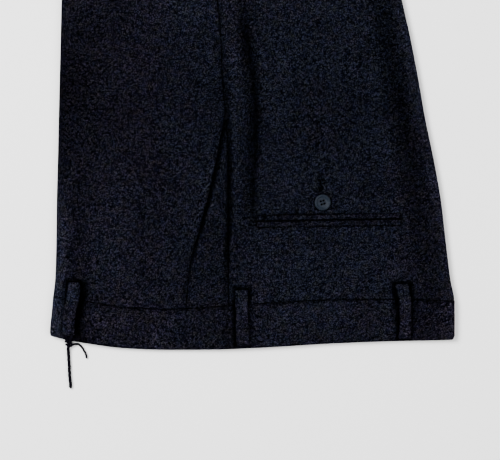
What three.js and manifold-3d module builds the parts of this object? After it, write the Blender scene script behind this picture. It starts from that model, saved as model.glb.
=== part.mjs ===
// Tailored trousers of dark wool flannel, laid flat with the legs on each other and folded along
// the front and the seat. Millimetres, +Z up, +X from the front to the seat, +Y from waist to hems.
// The right leg lies on top of the left one. Places along the garment are measured from the
// waist edge (at), and places across it from left to right (x), before the whole is centred.
import * as THREE from "three";
import Module from "manifold-3d";
import { mergeVertices } from "three/addons/utils/BufferGeometryUtils.js";

const wasm = await Module();
wasm.setup();

// Cloth, and how its layers lie on each other from the floor up.
const CLOTH = 1.5;
const SEAM_GAP = 0.3;
const BAND_GAP = 0.6;
const LEFT_OUTER_Z = CLOTH / 2;
const LEFT_INNER_Z = LEFT_OUTER_Z + CLOTH + SEAM_GAP;
const RIGHT_INNER_Z = LEFT_INNER_Z + CLOTH + SEAM_GAP;
const RIGHT_OUTER_Z = RIGHT_INNER_Z + CLOTH + SEAM_GAP;

// Loft of the layers where air and pocket bags lie between them.
const LEFT_LOFT = 1.0;
const INNER_LOFT = 0.9;
const WAIST_LOFT = 2.0;
const LEG_LOFT = 2.4;
const HEM_LOFT = 1.3;
const FRONT_ROLL = 30;
const SEAT_ROLL = 50;

// Lengths along the garment.
const BAND_SEAM = 45;
const CROTCH = 268;
const INSEAM_SHIFT = 6;
const HEM = 1040;

// Where the front fold, the side seam and the seat fold lie across at each distance from the waist.
const OUTLINE = [
  { at: 0, front: 45.7, side: 210.9, seat: 418.2 },
  { at: 45, front: 48.8, side: 210.7, seat: 417.8 },
  { at: 64, front: 50.6, side: 210.5, seat: 414.3 },
  { at: 100, front: 51.5, side: 210.3, seat: 409.9 },
  { at: 138, front: 52.0, side: 210.1, seat: 405.4 },
  { at: 174, front: 52.9, side: 209.9, seat: 399.0 },
  { at: 211, front: 53.7, side: 208.3, seat: 391.3 },
  { at: 248, front: 54.6, side: 204.8, seat: 384.8 },
  { at: 285, front: 55.5, side: 203.4, seat: 377.7 },
  { at: 321, front: 56.3, side: 200.1, seat: 369.7 },
  { at: 400, front: 58.2, side: 192.0, seat: 353.0 },
  { at: 500, front: 60.6, side: 184.0, seat: 334.5 },
  { at: 600, front: 63.2, side: 178.5, seat: 319.5 },
  { at: 800, front: 68.1, side: 173.0, seat: 299.0 },
  { at: 1040, front: 74.0, side: 169.5, seat: 281.0 },
];

// How far the cloth turned in at the front fold and at the seat fold reaches across. It is only a
// seam allowance at the waist, and from the crotch down it reaches the inseam.
const TURNED_IN = [
  { at: 45, front: 8, seat: 14 },
  { at: 80, front: 8, seat: 45 },
  { at: 120, front: 9, seat: 70 },
  { at: 160, front: 13, seat: 86 },
  { at: 200, front: 30, seat: 100 },
  { at: 225, front: 54, seat: 117 },
  { at: 245, front: 84, seat: 137 },
  { at: CROTCH, front: 153, seat: 166 },
];

// The slanted side pocket's mouth, which is the front panel's folded edge down to the side seam.
const POCKET_MOUTH = [
  { at: 45, x: 171.0 },
  { at: 70, x: 173.6 },
  { at: 90, x: 177.5 },
  { at: 113, x: 184.8 },
  { at: 155, x: 195.2 },
  { at: 192, x: 202.6 },
  { at: 214, x: 207.8 },
  { at: 240, x: 215.0 },
];
const MOUTH_END = 214;
const MOUTH_THICKNESS = 2.3;
const MOUTH_TURN = 7;
const FACING_UNDERLAP = 14;

// How far apart the rows of a panel lie, zone by zone from the waist to the hem.
const ROW_ZONES = [
  { to: 75, every: 10 },
  { to: 285, every: 15 },
  { to: 405, every: 30 },
  { to: HEM, every: 63.5 },
];

// The waistband's lower edge, as worn its top, and its seam to the panels.
const BAND = [
  { x: 45.7, edge: 15.4, seam: 49.6 },
  { x: 46.4, edge: 13.2, seam: 49.3 },
  { x: 48.5, edge: 12.2, seam: 49.0 },
  { x: 80, edge: 6.5, seam: 44.3 },
  { x: 115, edge: 1.6, seam: 38.4 },
  { x: 155, edge: 0.0, seam: 36.2 },
  { x: 195, edge: 0.2, seam: 38.3 },
  { x: 230, edge: 1.5, seam: 41.6 },
  { x: 265, edge: 3.4, seam: 43.9 },
  { x: 300, edge: 5.5, seam: 45.6 },
  { x: 360, edge: 8.1, seam: 45.9 },
  { x: 415.4, edge: 9.3, seam: 44.8 },
  { x: 417.4, edge: 10.6, seam: 44.7 },
  { x: 418.1, edge: 13.0, seam: 44.7 },
];
const BAND_THICKNESS = 3.0;
const BAND_SLIT = 0.8;
const BAND_ROUNDING = 0.9;
const FRONT_LEAN = 3.0;

// The soft folds of the upper leg that show: where each lies across, how high it stands and how
// far it spreads to its left and right. A groove has a height below zero.
const FOLD_LINES = [
  {
    name: "ridge at the side seam",
    left: 9,
    right: 9,
    rows: [
      { at: 60, x: 219, height: 0.1 },
      { at: 110, x: 219, height: 0.7 },
      { at: 160, x: 218.5, height: 1.1 },
      { at: 262, x: 217, height: 1.2 },
      { at: 321, x: 214, height: 1.0 },
      { at: 400, x: 206, height: 0.6 },
      { at: 520, x: 198, height: 0 },
    ],
  },
  {
    name: "groove behind the ridge",
    left: 11,
    right: 11,
    rows: [
      { at: 60, x: 231, height: 0 },
      { at: 110, x: 231.6, height: -1.2 },
      { at: 160, x: 233.8, height: -1.9 },
      { at: 200, x: 235.8, height: -2.0 },
      { at: 220, x: 234.2, height: -2.1 },
      { at: 262, x: 231.8, height: -2.3 },
      { at: 321, x: 227.6, height: -2.2 },
      { at: 400, x: 219, height: -1.2 },
      { at: 520, x: 210, height: 0 },
    ],
  },
  {
    name: "crest from the front of the waist to the side seam",
    left: 34,
    right: 24,
    rows: [
      { at: 48, x: 106, height: 0.3 },
      { at: 70, x: 109, height: 1.2 },
      { at: 96, x: 115, height: 1.7 },
      { at: 156, x: 126, height: 1.8 },
      { at: 193, x: 143, height: 1.7 },
      { at: 230, x: 164, height: 1.5 },
      { at: 303, x: 186, height: 1.3 },
      { at: 380, x: 194, height: 0.4 },
      { at: 430, x: 196, height: 0 },
    ],
  },
  {
    name: "valley behind the front fold",
    left: 18,
    right: 26,
    rows: [
      { at: 140, x: 84, height: 0 },
      { at: 200, x: 84, height: -0.9 },
      { at: 321, x: 86, height: -1.3 },
      { at: 430, x: 90, height: -0.5 },
      { at: 540, x: 94, height: 0 },
    ],
  },
  {
    name: "valley before the pocket's mouth",
    left: 16,
    right: 16,
    rows: [
      { at: 60, x: 148, height: 0 },
      { at: 96, x: 155, height: -0.6 },
      { at: 156, x: 158, height: -0.6 },
      { at: 193, x: 170, height: -0.5 },
      { at: 240, x: 186, height: 0 },
    ],
  },
  {
    name: "dip beyond the back pocket's button",
    left: 13,
    right: 15,
    rows: [
      { at: 140, x: 294, height: 0 },
      { at: 170, x: 293, height: -0.4 },
      { at: 200, x: 292, height: -0.4 },
      { at: 240, x: 290, height: 0 },
    ],
  },
  {
    name: "dip in the thigh",
    left: 20,
    right: 22,
    rows: [
      { at: 250, x: 300, height: 0 },
      { at: 330, x: 326, height: -0.5 },
      { at: 430, x: 318, height: 0 },
    ],
  },
  {
    name: "crease above the knee",
    left: 18,
    right: 20,
    rows: [
      { at: 470, x: 96, height: 0 },
      { at: 540, x: 118, height: -0.7 },
      { at: 600, x: 138, height: -0.5 },
      { at: 640, x: 150, height: 0 },
    ],
  },
  {
    name: "crease behind the knee",
    left: 18,
    right: 18,
    rows: [
      { at: 540, x: 262, height: 0 },
      { at: 600, x: 246, height: -0.7 },
      { at: 680, x: 226, height: 0 },
    ],
  },
  {
    name: "dip in the shin",
    left: 20,
    right: 22,
    rows: [
      { at: 680, x: 142, height: 0 },
      { at: 760, x: 150, height: -0.5 },
      { at: 880, x: 156, height: 0 },
    ],
  },
  {
    name: "dip in the calf",
    left: 16,
    right: 18,
    rows: [
      { at: 800, x: 232, height: 0 },
      { at: 890, x: 222, height: -0.5 },
      { at: 960, x: 216, height: 0 },
    ],
  },
];

// The back pocket's two welts and its button.
const WELT_LEFT = 236.4;
const WELT_RIGHT = 369.0;
const WELT_MOUTH_AT = 118.2;
const WELT_SLOPE = 2.8;
const UPPER_WELT_WIDTH = 4.3;
const LOWER_WELT_WIDTH = 6.2;
const WELT_THICKNESS = 1.1;
const WELT_SINK = 0.7;
const BUTTON_X = 296.7;
const BUTTON_AT = 135.8;
const BUTTON_RADIUS = 7.8;
const BUTTON_HEIGHT = 3.0;
const BUTTON_HOLE_RADIUS = 0.75;
const BUTTON_HOLE_SPACING = 2.9;

// Belt loops on the upper side: foot on the band, foot on the panel, and how high each stands.
const LOOP_WIDTH = 12.4;
const LOOP_THICKNESS = 1.8;
const LOOP_FOOT = 6;
const LOOPS = [
  { name: "front", xBand: 63.5, xPanel: 69.0, from: 12.6, to: 63.6, gap: 6.4 },
  { name: "side", xBand: 224.2, xPanel: 222.6, from: 3.0, to: 54.6, gap: 5.0 },
  { name: "seat", xBand: 372.2, xPanel: 370.4, from: 9.4, to: 60.2, gap: 5.0 },
];
const UNDER_LOOP_THICKNESS = 1.3;
const UNDER_LOOP_RECESS = 1.6;
const UNDER_LOOP_INSET = 1.2;

// The cord knotted at the front loop, with one long and one short end.
const CORD_RADIUS = 1.15;
const TAIL_RADIUS = 0.85;
const CORD_FLOOR = 0.1;
const CORD_ROUTE = [
  { x: 62.4, at: 1.0, rise: 0.9 },
  { x: 62.5, at: -4.0, rise: 0.5 },
  { x: 62.7, at: -9.5, rise: 0.1 },
  { x: 63.2, at: -15.0, rise: 0 },
  { x: 63.4, at: -20.5, rise: 0 },
  { x: 63.7, at: -26.0, rise: 0 },
  { x: 64.3, at: -31.0, rise: 0 },
  { x: 64.6, at: -36.4, rise: 0 },
];
const TAIL_ROUTE = [
  { x: 64.4, at: 2.2, rise: 1.4 },
  { x: 67.0, at: 4.4, rise: 1.4 },
  { x: 71.0, at: 4.8, rise: 0.8 },
  { x: 74.6, at: 2.2, rise: 0.2 },
  { x: 77.3, at: -1.0, rise: 0 },
  { x: 79.2, at: -4.6, rise: 0 },
  { x: 80.4, at: -8.0, rise: 0 },
];
const KNOT_HALF_WIDTH = 3.0;
const KNOT_HALF_LENGTH = 4.3;
const KNOT_HALF_HEIGHT = 2.4;
const KNOT_X = 62.6;
const KNOT_AT = 4.9;

const group = new THREE.Group();

// A smooth curve through one column of a table, which never overshoots its rows.
function curveThrough(table, column, along = "at") {
  const places = table.map((row) => row[along]);
  const values = table.map((row) => row[column]);
  const last = places.length - 1;
  const slopes = places.slice(1).map((place, i) => (values[i + 1] - values[i]) / (place - places[i]));
  const tangents = values.map((value, i) => {
    if (i === 0) return slopes[0];
    if (i === last) return slopes[last - 1];
    if (slopes[i - 1] * slopes[i] <= 0) return 0;
    return (2 * slopes[i - 1] * slopes[i]) / (slopes[i - 1] + slopes[i]);
  });
  return (place) => {
    const held = Math.min(Math.max(place, places[0]), places[last]);
    let i = 0;
    while (i < last - 1 && held > places[i + 1]) i += 1;
    const span = places[i + 1] - places[i];
    const t = (held - places[i]) / span;
    const hermite = [
      2 * t ** 3 - 3 * t ** 2 + 1,
      t ** 3 - 2 * t ** 2 + t,
      3 * t ** 2 - 2 * t ** 3,
      t ** 3 - t ** 2,
    ];
    return (
      hermite[0] * values[i] +
      hermite[1] * span * tangents[i] +
      hermite[2] * values[i + 1] +
      hermite[3] * span * tangents[i + 1]
    );
  };
}

function mix(a, b, t) {
  return a + (b - a) * t;
}

// Rises softly from 0 to 1 between two places.
function rise(place, start, end) {
  const t = Math.min(Math.max((place - start) / (end - start), 0), 1);
  return t * t * (3 - 2 * t);
}

// A soft bump that is 1 in its middle and 0 a half width away.
function bump(distance, halfWidth) {
  const t = Math.min(Math.abs(distance) / halfWidth, 1);
  return (1 - t * t) ** 2;
}

const frontFold = curveThrough(OUTLINE, "front");
const sideSeam = curveThrough(OUTLINE, "side");
const seatFold = curveThrough(OUTLINE, "seat");
const frontTurnedIn = curveThrough(TURNED_IN, "front");
const seatTurnedIn = curveThrough(TURNED_IN, "seat");
const mouthLine = curveThrough(POCKET_MOUTH, "x");
const bandEdge = curveThrough(BAND, "edge", "x");
const bandSeam = curveThrough(BAND, "seam", "x");
const foldLines = FOLD_LINES.map(foldLine);

// The height that one soft fold adds at a place.
function foldLine({ left, right, rows }) {
  const middle = curveThrough(rows, "x");
  const height = curveThrough(rows, "height");
  return (x, at) => {
    const distance = x - middle(at);
    return height(at) * bump(distance, distance < 0 ? left : right);
  };
}

// Where the welts' mouth line runs, a little uphill towards the seat.
function weltMouth(x) {
  return WELT_MOUTH_AT + (WELT_SLOPE * (x - WELT_LEFT)) / (WELT_RIGHT - WELT_LEFT);
}

// How full the garment is at a place: 0 at both folds and 1 away from them.
function fullness(x, at) {
  return rise(x, frontFold(at), frontFold(at) + FRONT_ROLL) * rise(seatFold(at) - x, 0, SEAT_ROLL);
}

// How far the lower leg's inner layer, and the upper leg's, are lifted by the air beneath them.
function leftInnerLoft(x, at) {
  const along = rise(at, 235, 340) * mix(1, 0.55, rise(at, 420, HEM));
  return LEFT_LOFT * along * fullness(x, at);
}

function rightInnerLoft(x, at) {
  const along = rise(at, 235, 340) * mix(1, 0.5, rise(at, 420, HEM));
  return leftInnerLoft(x, at) + INNER_LOFT * along * fullness(x, at);
}

// How far the pocket bags and the air lift the upper leg's outer layer from its inner one.
function upperAir(x, at) {
  const waist = WAIST_LOFT * rise(at, BAND_SEAM, BAND_SEAM + 24);
  const leg = mix(waist, LEG_LOFT, rise(at, 240, 340));
  return mix(leg, HEM_LOFT, rise(at, 420, HEM)) * fullness(x, at);
}

// The same with the soft folds and the dip under the welts.
function rightOuterLoft(x, at) {
  const folds = foldLines.reduce((sum, fold) => sum + fold(x, at), 0);
  const overWelts = bump(at - weltMouth(x), 15) * rise(x, WELT_LEFT - 8, WELT_LEFT);
  const sunk = WELT_SINK * overWelts * rise(WELT_RIGHT + 8 - x, 0, 8);
  const lift = upperAir(x, at) + folds - sunk;
  return rightInnerLoft(x, at) + Math.max(lift, 0.1);
}

// Names a mesh, gives it its own finish and adds it to the garment.
function addPiece(name, geometry, color, roughness) {
  const material = new THREE.MeshStandardMaterial({ color, roughness, metalness: 0 });
  const mesh = new THREE.Mesh(geometry, material);
  mesh.name = name;
  group.add(mesh);
  return mesh;
}

function clothPiece(name, geometry) {
  return addPiece(name, geometry, 0x14161f, 0.95);
}

// Makes a geometry from points and triangles, turned so that its faces point out.
function closedGeometry(points, triangles) {
  let volume = 0;
  for (const [a, b, c] of triangles) {
    volume += points[a].dot(points[b].clone().cross(points[c])) / 6;
  }
  const outward = volume > 0 ? triangles : triangles.map(([a, b, c]) => [a, c, b]);
  const geometry = new THREE.BufferGeometry();
  const numbers = points.flatMap((point) => point.toArray());
  geometry.setAttribute("position", new THREE.Float32BufferAttribute(numbers, 3));
  geometry.setIndex(outward.flat());
  return geometry;
}

// Joins rings of points, all of the same count, into a closed body with flat ends.
function loftedBody(rings) {
  const count = rings[0].length;
  const points = rings.flat();
  const triangles = [];
  for (let i = 0; i < rings.length - 1; i += 1) {
    for (let j = 0; j < count; j += 1) {
      const next = (j + 1) % count;
      const a = i * count + j;
      const b = i * count + next;
      triangles.push([a, b, b + count]);
      triangles.push([a, b + count, a + count]);
    }
  }
  const end = (rings.length - 1) * count;
  for (let j = 1; j < count - 1; j += 1) {
    triangles.push([0, j + 1, j]);
    triangles.push([end, end + j, end + j + 1]);
  }
  return closedGeometry(points, triangles);
}

// Turns a grid of middle points into a wall of cloth. Each point carries its own thickness.
function clothWall(rows) {
  const width = rows[0].length;
  const depth = rows.length;
  const normals = rows.map((row, i) => {
    return row.map((point, j) => {
      const across = row[Math.min(j + 1, width - 1)].clone().sub(row[Math.max(j - 1, 0)]);
      const along = rows[Math.min(i + 1, depth - 1)][j].clone().sub(rows[Math.max(i - 1, 0)][j]);
      return across.cross(along).normalize();
    });
  });
  const faces = [1, -1].map((side) => {
    return rows.map((row, i) => {
      return row.map((point, j) => point.clone().addScaledVector(normals[i][j], (side * point.cloth) / 2));
    });
  });
  const index = (face, i, j) => face * width * depth + i * width + j;
  const triangles = [];
  for (let i = 0; i < depth - 1; i += 1) {
    for (let j = 0; j < width - 1; j += 1) {
      for (const face of [0, 1]) {
        const near = [index(face, i, j), index(face, i, j + 1)];
        const far = [index(face, i + 1, j + 1), index(face, i + 1, j)];
        const corners = [...near, ...far];
        const [a, b, c, d] = face === 0 ? corners : corners.reverse();
        triangles.push([a, b, c]);
        triangles.push([a, c, d]);
      }
    }
  }
  const border = [];
  for (let j = 0; j < width - 1; j += 1) border.push([0, j]);
  for (let i = 0; i < depth - 1; i += 1) border.push([i, width - 1]);
  for (let j = width - 1; j > 0; j -= 1) border.push([depth - 1, j]);
  for (let i = depth - 1; i > 0; i -= 1) border.push([i, 0]);
  border.forEach(([i, j], k) => {
    const [nextI, nextJ] = border[(k + 1) % border.length];
    const a = index(0, i, j);
    const b = index(0, nextI, nextJ);
    const c = index(1, nextI, nextJ);
    const d = index(1, i, j);
    triangles.push([a, d, c]);
    triangles.push([a, c, b]);
  });
  return closedGeometry(faces.flat(2), triangles);
}

function clothPoint(x, y, z, cloth = CLOTH) {
  const point = new THREE.Vector3(x, y, z);
  point.cloth = cloth;
  return point;
}

// The rows of a panel: the distances from the waist, closer together where the shape changes.
function panelRows(step) {
  const places = [BAND_SEAM];
  for (const zone of ROW_ZONES) {
    const from = places[places.length - 1];
    const count = Math.max(Math.round((zone.to - from) / (zone.every * step)), 1);
    for (let k = 1; k <= count; k += 1) places.push(mix(from, zone.to, k / count));
  }
  return places;
}

// Where a point really lies along the garment, once the waist end follows the waistband's seam.
function alongPanel(x, at) {
  const shift = bandSeam(x) + BAND_GAP - BAND_SEAM;
  return at + shift * (1 - rise(at, BAND_SEAM, BAND_SEAM + 60));
}

// The part of a panel's section that lies flat, from its side edge to where the fold begins, then
// the half round fold, and last the part that is turned in.
function foldedPanel({ rows, across, foldSteps, turnedSteps, edge, fold, outer, inner, turnedIn, cloth }) {
  return clothWall(
    rows.map((at) => {
      const side = Math.sign(edge(at) - fold(at));
      const foldX = fold(at);
      const radius = Math.abs(outer(foldX, at) - inner(foldX, at)) / 2;
      const middle = (outer(foldX, at) + inner(foldX, at)) / 2;
      const up = Math.sign(outer(foldX, at) - inner(foldX, at));
      const start = foldX + side * (radius + CLOTH / 2);
      const section = across.map((share) => {
        const x = mix(edge(at), start, share);
        const wall = cloth(x, at);
        return clothPoint(x, alongPanel(x, at), outer(x, at) + (up * (wall - CLOTH)) / 2, wall);
      });
      for (let k = 1; k < foldSteps; k += 1) {
        const angle = (Math.PI * k) / foldSteps;
        const x = start - side * radius * Math.sin(angle);
        section.push(clothPoint(x, alongPanel(x, at), middle + up * radius * Math.cos(angle)));
      }
      for (let k = 0; k <= turnedSteps; k += 1) {
        const x = start + (side * turnedIn(at) * k) / turnedSteps;
        section.push(clothPoint(x, alongPanel(x, at), inner(x, at)));
      }
      return section;
    }),
  );
}

// Where the two turned-in parts of a leg meet at its inseam, beside the side seam above it.
function inseam(at) {
  return sideSeam(at) + INSEAM_SHIFT;
}

// How far each part is turned in: to the inseam below the crotch, less above it.
function frontReach(at) {
  const full = inseam(at) - SEAM_GAP / 2 - frontFold(at) - CLOTH;
  return at >= CROTCH ? full - 1 : Math.min(frontTurnedIn(at), full - 1);
}

function seatReach(at) {
  const full = seatFold(at) - CLOTH - inseam(at) - SEAM_GAP / 2;
  return at >= CROTCH ? full - 1 : Math.min(seatTurnedIn(at), full - 1);
}

const upperOuter = (x, at) => RIGHT_OUTER_Z + rightOuterLoft(x, at);
const upperInner = (x, at) => RIGHT_INNER_Z + rightInnerLoft(x, at);
const lowerOuter = () => LEFT_OUTER_Z;
const lowerInner = (x, at) => LEFT_INNER_Z + leftInnerLoft(x, at);
const plainCloth = () => CLOTH;

function frontSideEdge(at) {
  return Math.min(mouthLine(at), sideSeam(at) - SEAM_GAP / 2);
}

function seatSideEdge(at) {
  return sideSeam(at) + SEAM_GAP / 2;
}

// The front panel is folded double along the pocket's mouth.
function frontCloth(x, at) {
  const turned = rise(x, mouthLine(at) - MOUTH_TURN - 4, mouthLine(at) - MOUTH_TURN);
  return mix(CLOTH, MOUTH_THICKNESS, turned * (1 - rise(at, MOUTH_END - 14, MOUTH_END + 4)));
}

function addPanels() {
  const fine = panelRows(1);
  const coarse = panelRows(1.6);
  const upperFront = {
    rows: fine,
    across: [0, 0.04, 0.09, 0.2, 0.34, 0.48, 0.62, 0.75, 0.86, 0.94, 1],
    foldSteps: 4,
    turnedSteps: 3,
    edge: frontSideEdge,
    fold: frontFold,
    outer: upperOuter,
    inner: upperInner,
    turnedIn: frontReach,
    cloth: frontCloth,
  };
  const upperSeat = {
    ...upperFront,
    across: [0, 0.025, 0.05, 0.085, 0.12, 0.155, 0.2, 0.3, 0.43, 0.56, 0.69, 0.81, 0.91, 1],
    edge: seatSideEdge,
    fold: seatFold,
    turnedIn: seatReach,
    cloth: plainCloth,
  };
  const lower = {
    rows: coarse,
    across: [0, 0.2, 0.4, 0.6, 0.8, 1],
    outer: lowerOuter,
    inner: lowerInner,
    cloth: plainCloth,
  };
  clothPiece("right_front_panel", foldedPanel(upperFront));
  clothPiece("right_back_panel", foldedPanel(upperSeat));
  clothPiece("left_front_panel", foldedPanel({ ...upperFront, ...lower }));
  clothPiece("left_back_panel", foldedPanel({ ...upperSeat, ...lower }));
}

// A flat layer inside the garment, given by its two side edges and the height of its middle.
function innerLayer({ from, to, every, columns, left, right, height, cloth }) {
  const count = Math.round((to - from) / every);
  const rows = [];
  for (let i = 0; i <= count; i += 1) {
    const at = mix(from, to, i / count);
    const row = [];
    for (let j = 0; j <= columns; j += 1) {
      const x = mix(left(at), right(at), j / columns);
      row.push(clothPoint(x, alongPanel(x, at), height(x, at), cloth));
    }
    rows.push(row);
  }
  return clothWall(rows);
}

const BAG_CLOTH = 1.0;
const FACING_CLEARANCE = 0.45;
const BAG_END = 246;
const SIDE_BAG_INSET = 42;
const BACK_BAG_LEFT = 250;
const BACK_BAG_RIGHT = 372;

// The facing behind the side pocket's mouth, and the pocket bags.
function addPocketing() {
  const ceiling = (x, at) => RIGHT_OUTER_Z - CLOTH / 2 + upperAir(x, at);
  const onInner = RIGHT_INNER_Z + CLOTH / 2 + SEAM_GAP + BAG_CLOTH / 2;
  const bagHeight = (x, at) => Math.min(onInner, ceiling(x, at) - SEAM_GAP - BAG_CLOTH / 2);
  const facingLeft = (at) => mouthLine(at) - FACING_UNDERLAP;
  const facingRight = (at) => sideSeam(at) - SEAM_GAP / 2;
  const upperFacing = (x, at) => {
    const lying = ceiling(x, at) - FACING_CLEARANCE - CLOTH / 2;
    const open = rise(x, mouthLine(at) + 1, sideSeam(at)) * (1 - rise(at, MOUTH_END - 45, MOUTH_END - 14));
    return mix(lying, upperOuter(sideSeam(at), at), open);
  };
  clothPiece("right_pocket_facing", innerLayer({
    from: BAND_SEAM, to: MOUTH_END + 12, every: 16, columns: 7, left: facingLeft, right: facingRight,
    height: upperFacing, cloth: CLOTH,
  }));
  clothPiece("left_pocket_facing", innerLayer({
    from: BAND_SEAM, to: MOUTH_END + 12, every: 25, columns: 2, left: facingLeft,
    right: (at) => sideSeam(at) + 8, height: () => LEFT_INNER_Z, cloth: CLOTH,
  }));
  const bagLeft = (at) => Math.max(frontFold(at) + SIDE_BAG_INSET, frontFold(at) + frontTurnedIn(at) + 8);
  const bagRight = (at) => facingLeft(at) - SEAM_GAP;
  const sideBag = {
    from: BAND_SEAM, to: MOUTH_END + 12, every: 16, columns: 5, left: bagLeft, right: bagRight,
  };
  addPiece("right_side_pocket_bag", innerLayer({
    ...sideBag, height: bagHeight, cloth: BAG_CLOTH,
  }), 0x1b1c22, 0.9);
  const underBagHeight = LEFT_INNER_Z - (CLOTH - BAG_CLOTH) / 2;
  addPiece("left_side_pocket_bag", innerLayer({
    ...sideBag, every: 25, columns: 3, height: () => underBagHeight, cloth: BAG_CLOTH,
  }), 0x1b1c22, 0.9);
  addPiece("back_pocket_bag", innerLayer({
    from: BAND_SEAM + 24, to: BAG_END, every: 16, columns: 8, left: () => BACK_BAG_LEFT,
    right: (at) => Math.min(BACK_BAG_RIGHT, seatFold(at) - SEAT_ROLL + 4),
    height: bagHeight, cloth: BAG_CLOTH,
  }), 0x1b1c22, 0.9);
}

const FLY_WIDTH = 34;
const FLY_END = 166;

// The shield behind the closed fly, between the turned-in edges of the two fronts.
function addFlyShield() {
  const height = (LEFT_INNER_Z + RIGHT_INNER_Z) / 2;
  clothPiece("fly_shield", innerLayer({
    from: BAND_SEAM, to: FLY_END, every: 30, columns: 1,
    left: (at) => frontFold(at) + CLOTH + 1 + frontTurnedIn(at),
    right: (at) => frontFold(at) + FLY_WIDTH,
    height: () => height, cloth: CLOTH,
  }));
}

// The outline of a rectangle with rounded corners, seen along the band, between two places and
// two heights.
function bandSection(x, from, to, bottom, top, rounding, leanAt) {
  const half = Math.min(rounding, (top - bottom) * 0.3);
  const corners = [
    [from, bottom + half], [from + half, bottom], [to - half, bottom], [to, bottom + half],
    [to, top - half], [to - half, top], [from + half, top], [from, top - half],
  ];
  return corners.map(([at, z]) => new THREE.Vector3(leanAt(x, at), at, z));
}

// The band's front end leans, so that it meets the front fold at its seam.
function leaned(x, at) {
  const share = Math.max(1 - (x - BAND[0].x) / 15, 0);
  return x + FRONT_LEAN * share * rise(at, 14, 50);
}

function bandStations(extra) {
  const first = BAND[0].x;
  const last = BAND[BAND.length - 1].x;
  const stations = BAND.map((row) => row.x);
  for (let x = first + 14; x < last - 8; x += 17) stations.push(x);
  const kept = [...stations, ...extra].sort((a, b) => a - b);
  return kept.filter((x, i) => i === 0 || x - kept[i - 1] > 0.02);
}

function bandWave(x) {
  return 0.35 * Math.sin(x / 31) + 0.25 * Math.sin(x / 17 + 1.2) + 0.35;
}

// How much thinner the band is at its rounded ends.
function endThinning(x) {
  const first = BAND[0].x;
  const last = BAND[BAND.length - 1].x;
  return 0.8 * (2 - rise(x, first, first + 2) - rise(x, last, last - 2));
}

function addWaistband() {
  const upperBottom = BAND_THICKNESS + BAND_SLIT;
  const rightRings = bandStations([]).map((x) => {
    const lift = bandWave(x);
    const thin = endThinning(x);
    const bottom = upperBottom + lift + thin / 2;
    const top = upperBottom + BAND_THICKNESS + lift - thin;
    return bandSection(x, bandEdge(x), bandSeam(x), bottom, top, BAND_ROUNDING, leaned);
  });
  clothPiece("right_waistband", loftedBody(rightRings));
  const recesses = LOOPS.map(underLoopSpan);
  const steps = recesses.flatMap(({ left, right }) => {
    return [left - SEAM_GAP - 0.1, left - SEAM_GAP, right + SEAM_GAP, right + SEAM_GAP + 0.1];
  });
  const leftRings = bandStations(steps).map((x) => {
    const recessed = recesses.some(({ left, right }) => {
      return x > left - SEAM_GAP - 0.05 && x < right + SEAM_GAP + 0.05;
    });
    const bottom = recessed ? UNDER_LOOP_RECESS : 0;
    const top = BAND_THICKNESS - endThinning(x) / 2;
    return bandSection(x, bandEdge(x), bandSeam(x), bottom, top, recessed ? 0.3 : BAND_ROUNDING, leaned);
  });
  clothPiece("left_waistband", loftedBody(leftRings));
}

function underLoopSpan(loop) {
  const middle = (loop.xBand + loop.xPanel) / 2;
  return { left: middle - LOOP_WIDTH / 2, right: middle + LOOP_WIDTH / 2 };
}

// The highest point of some meshes above one place, used to seat what lies on the cloth.
function highestAt(meshes, x, y) {
  let best = -Infinity;
  const a = new THREE.Vector3();
  const b = new THREE.Vector3();
  const c = new THREE.Vector3();
  for (const mesh of meshes) {
    const position = mesh.geometry.getAttribute("position");
    const index = mesh.geometry.getIndex();
    for (let i = 0; i < index.count; i += 3) {
      a.fromBufferAttribute(position, index.getX(i));
      b.fromBufferAttribute(position, index.getX(i + 1));
      c.fromBufferAttribute(position, index.getX(i + 2));
      const area = (b.x - a.x) * (c.y - a.y) - (c.x - a.x) * (b.y - a.y);
      if (area < 1e-9) continue;
      const u = ((x - a.x) * (c.y - a.y) - (c.x - a.x) * (y - a.y)) / area;
      const v = ((b.x - a.x) * (y - a.y) - (x - a.x) * (b.y - a.y)) / area;
      if (u < 0 || v < 0 || u + v > 1) continue;
      best = Math.max(best, a.z + u * (b.z - a.z) + v * (c.z - a.z));
    }
  }
  return best;
}

function highestAround(meshes, x, y, halfX, halfY) {
  let best = -Infinity;
  for (const dx of [-1, -0.5, 0, 0.5, 1]) {
    for (const dy of [-1, 0, 1]) best = Math.max(best, highestAt(meshes, x + dx * halfX, y + dy * halfY));
  }
  return best;
}

function pieceNamed(name) {
  return group.getObjectByName(name);
}

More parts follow.
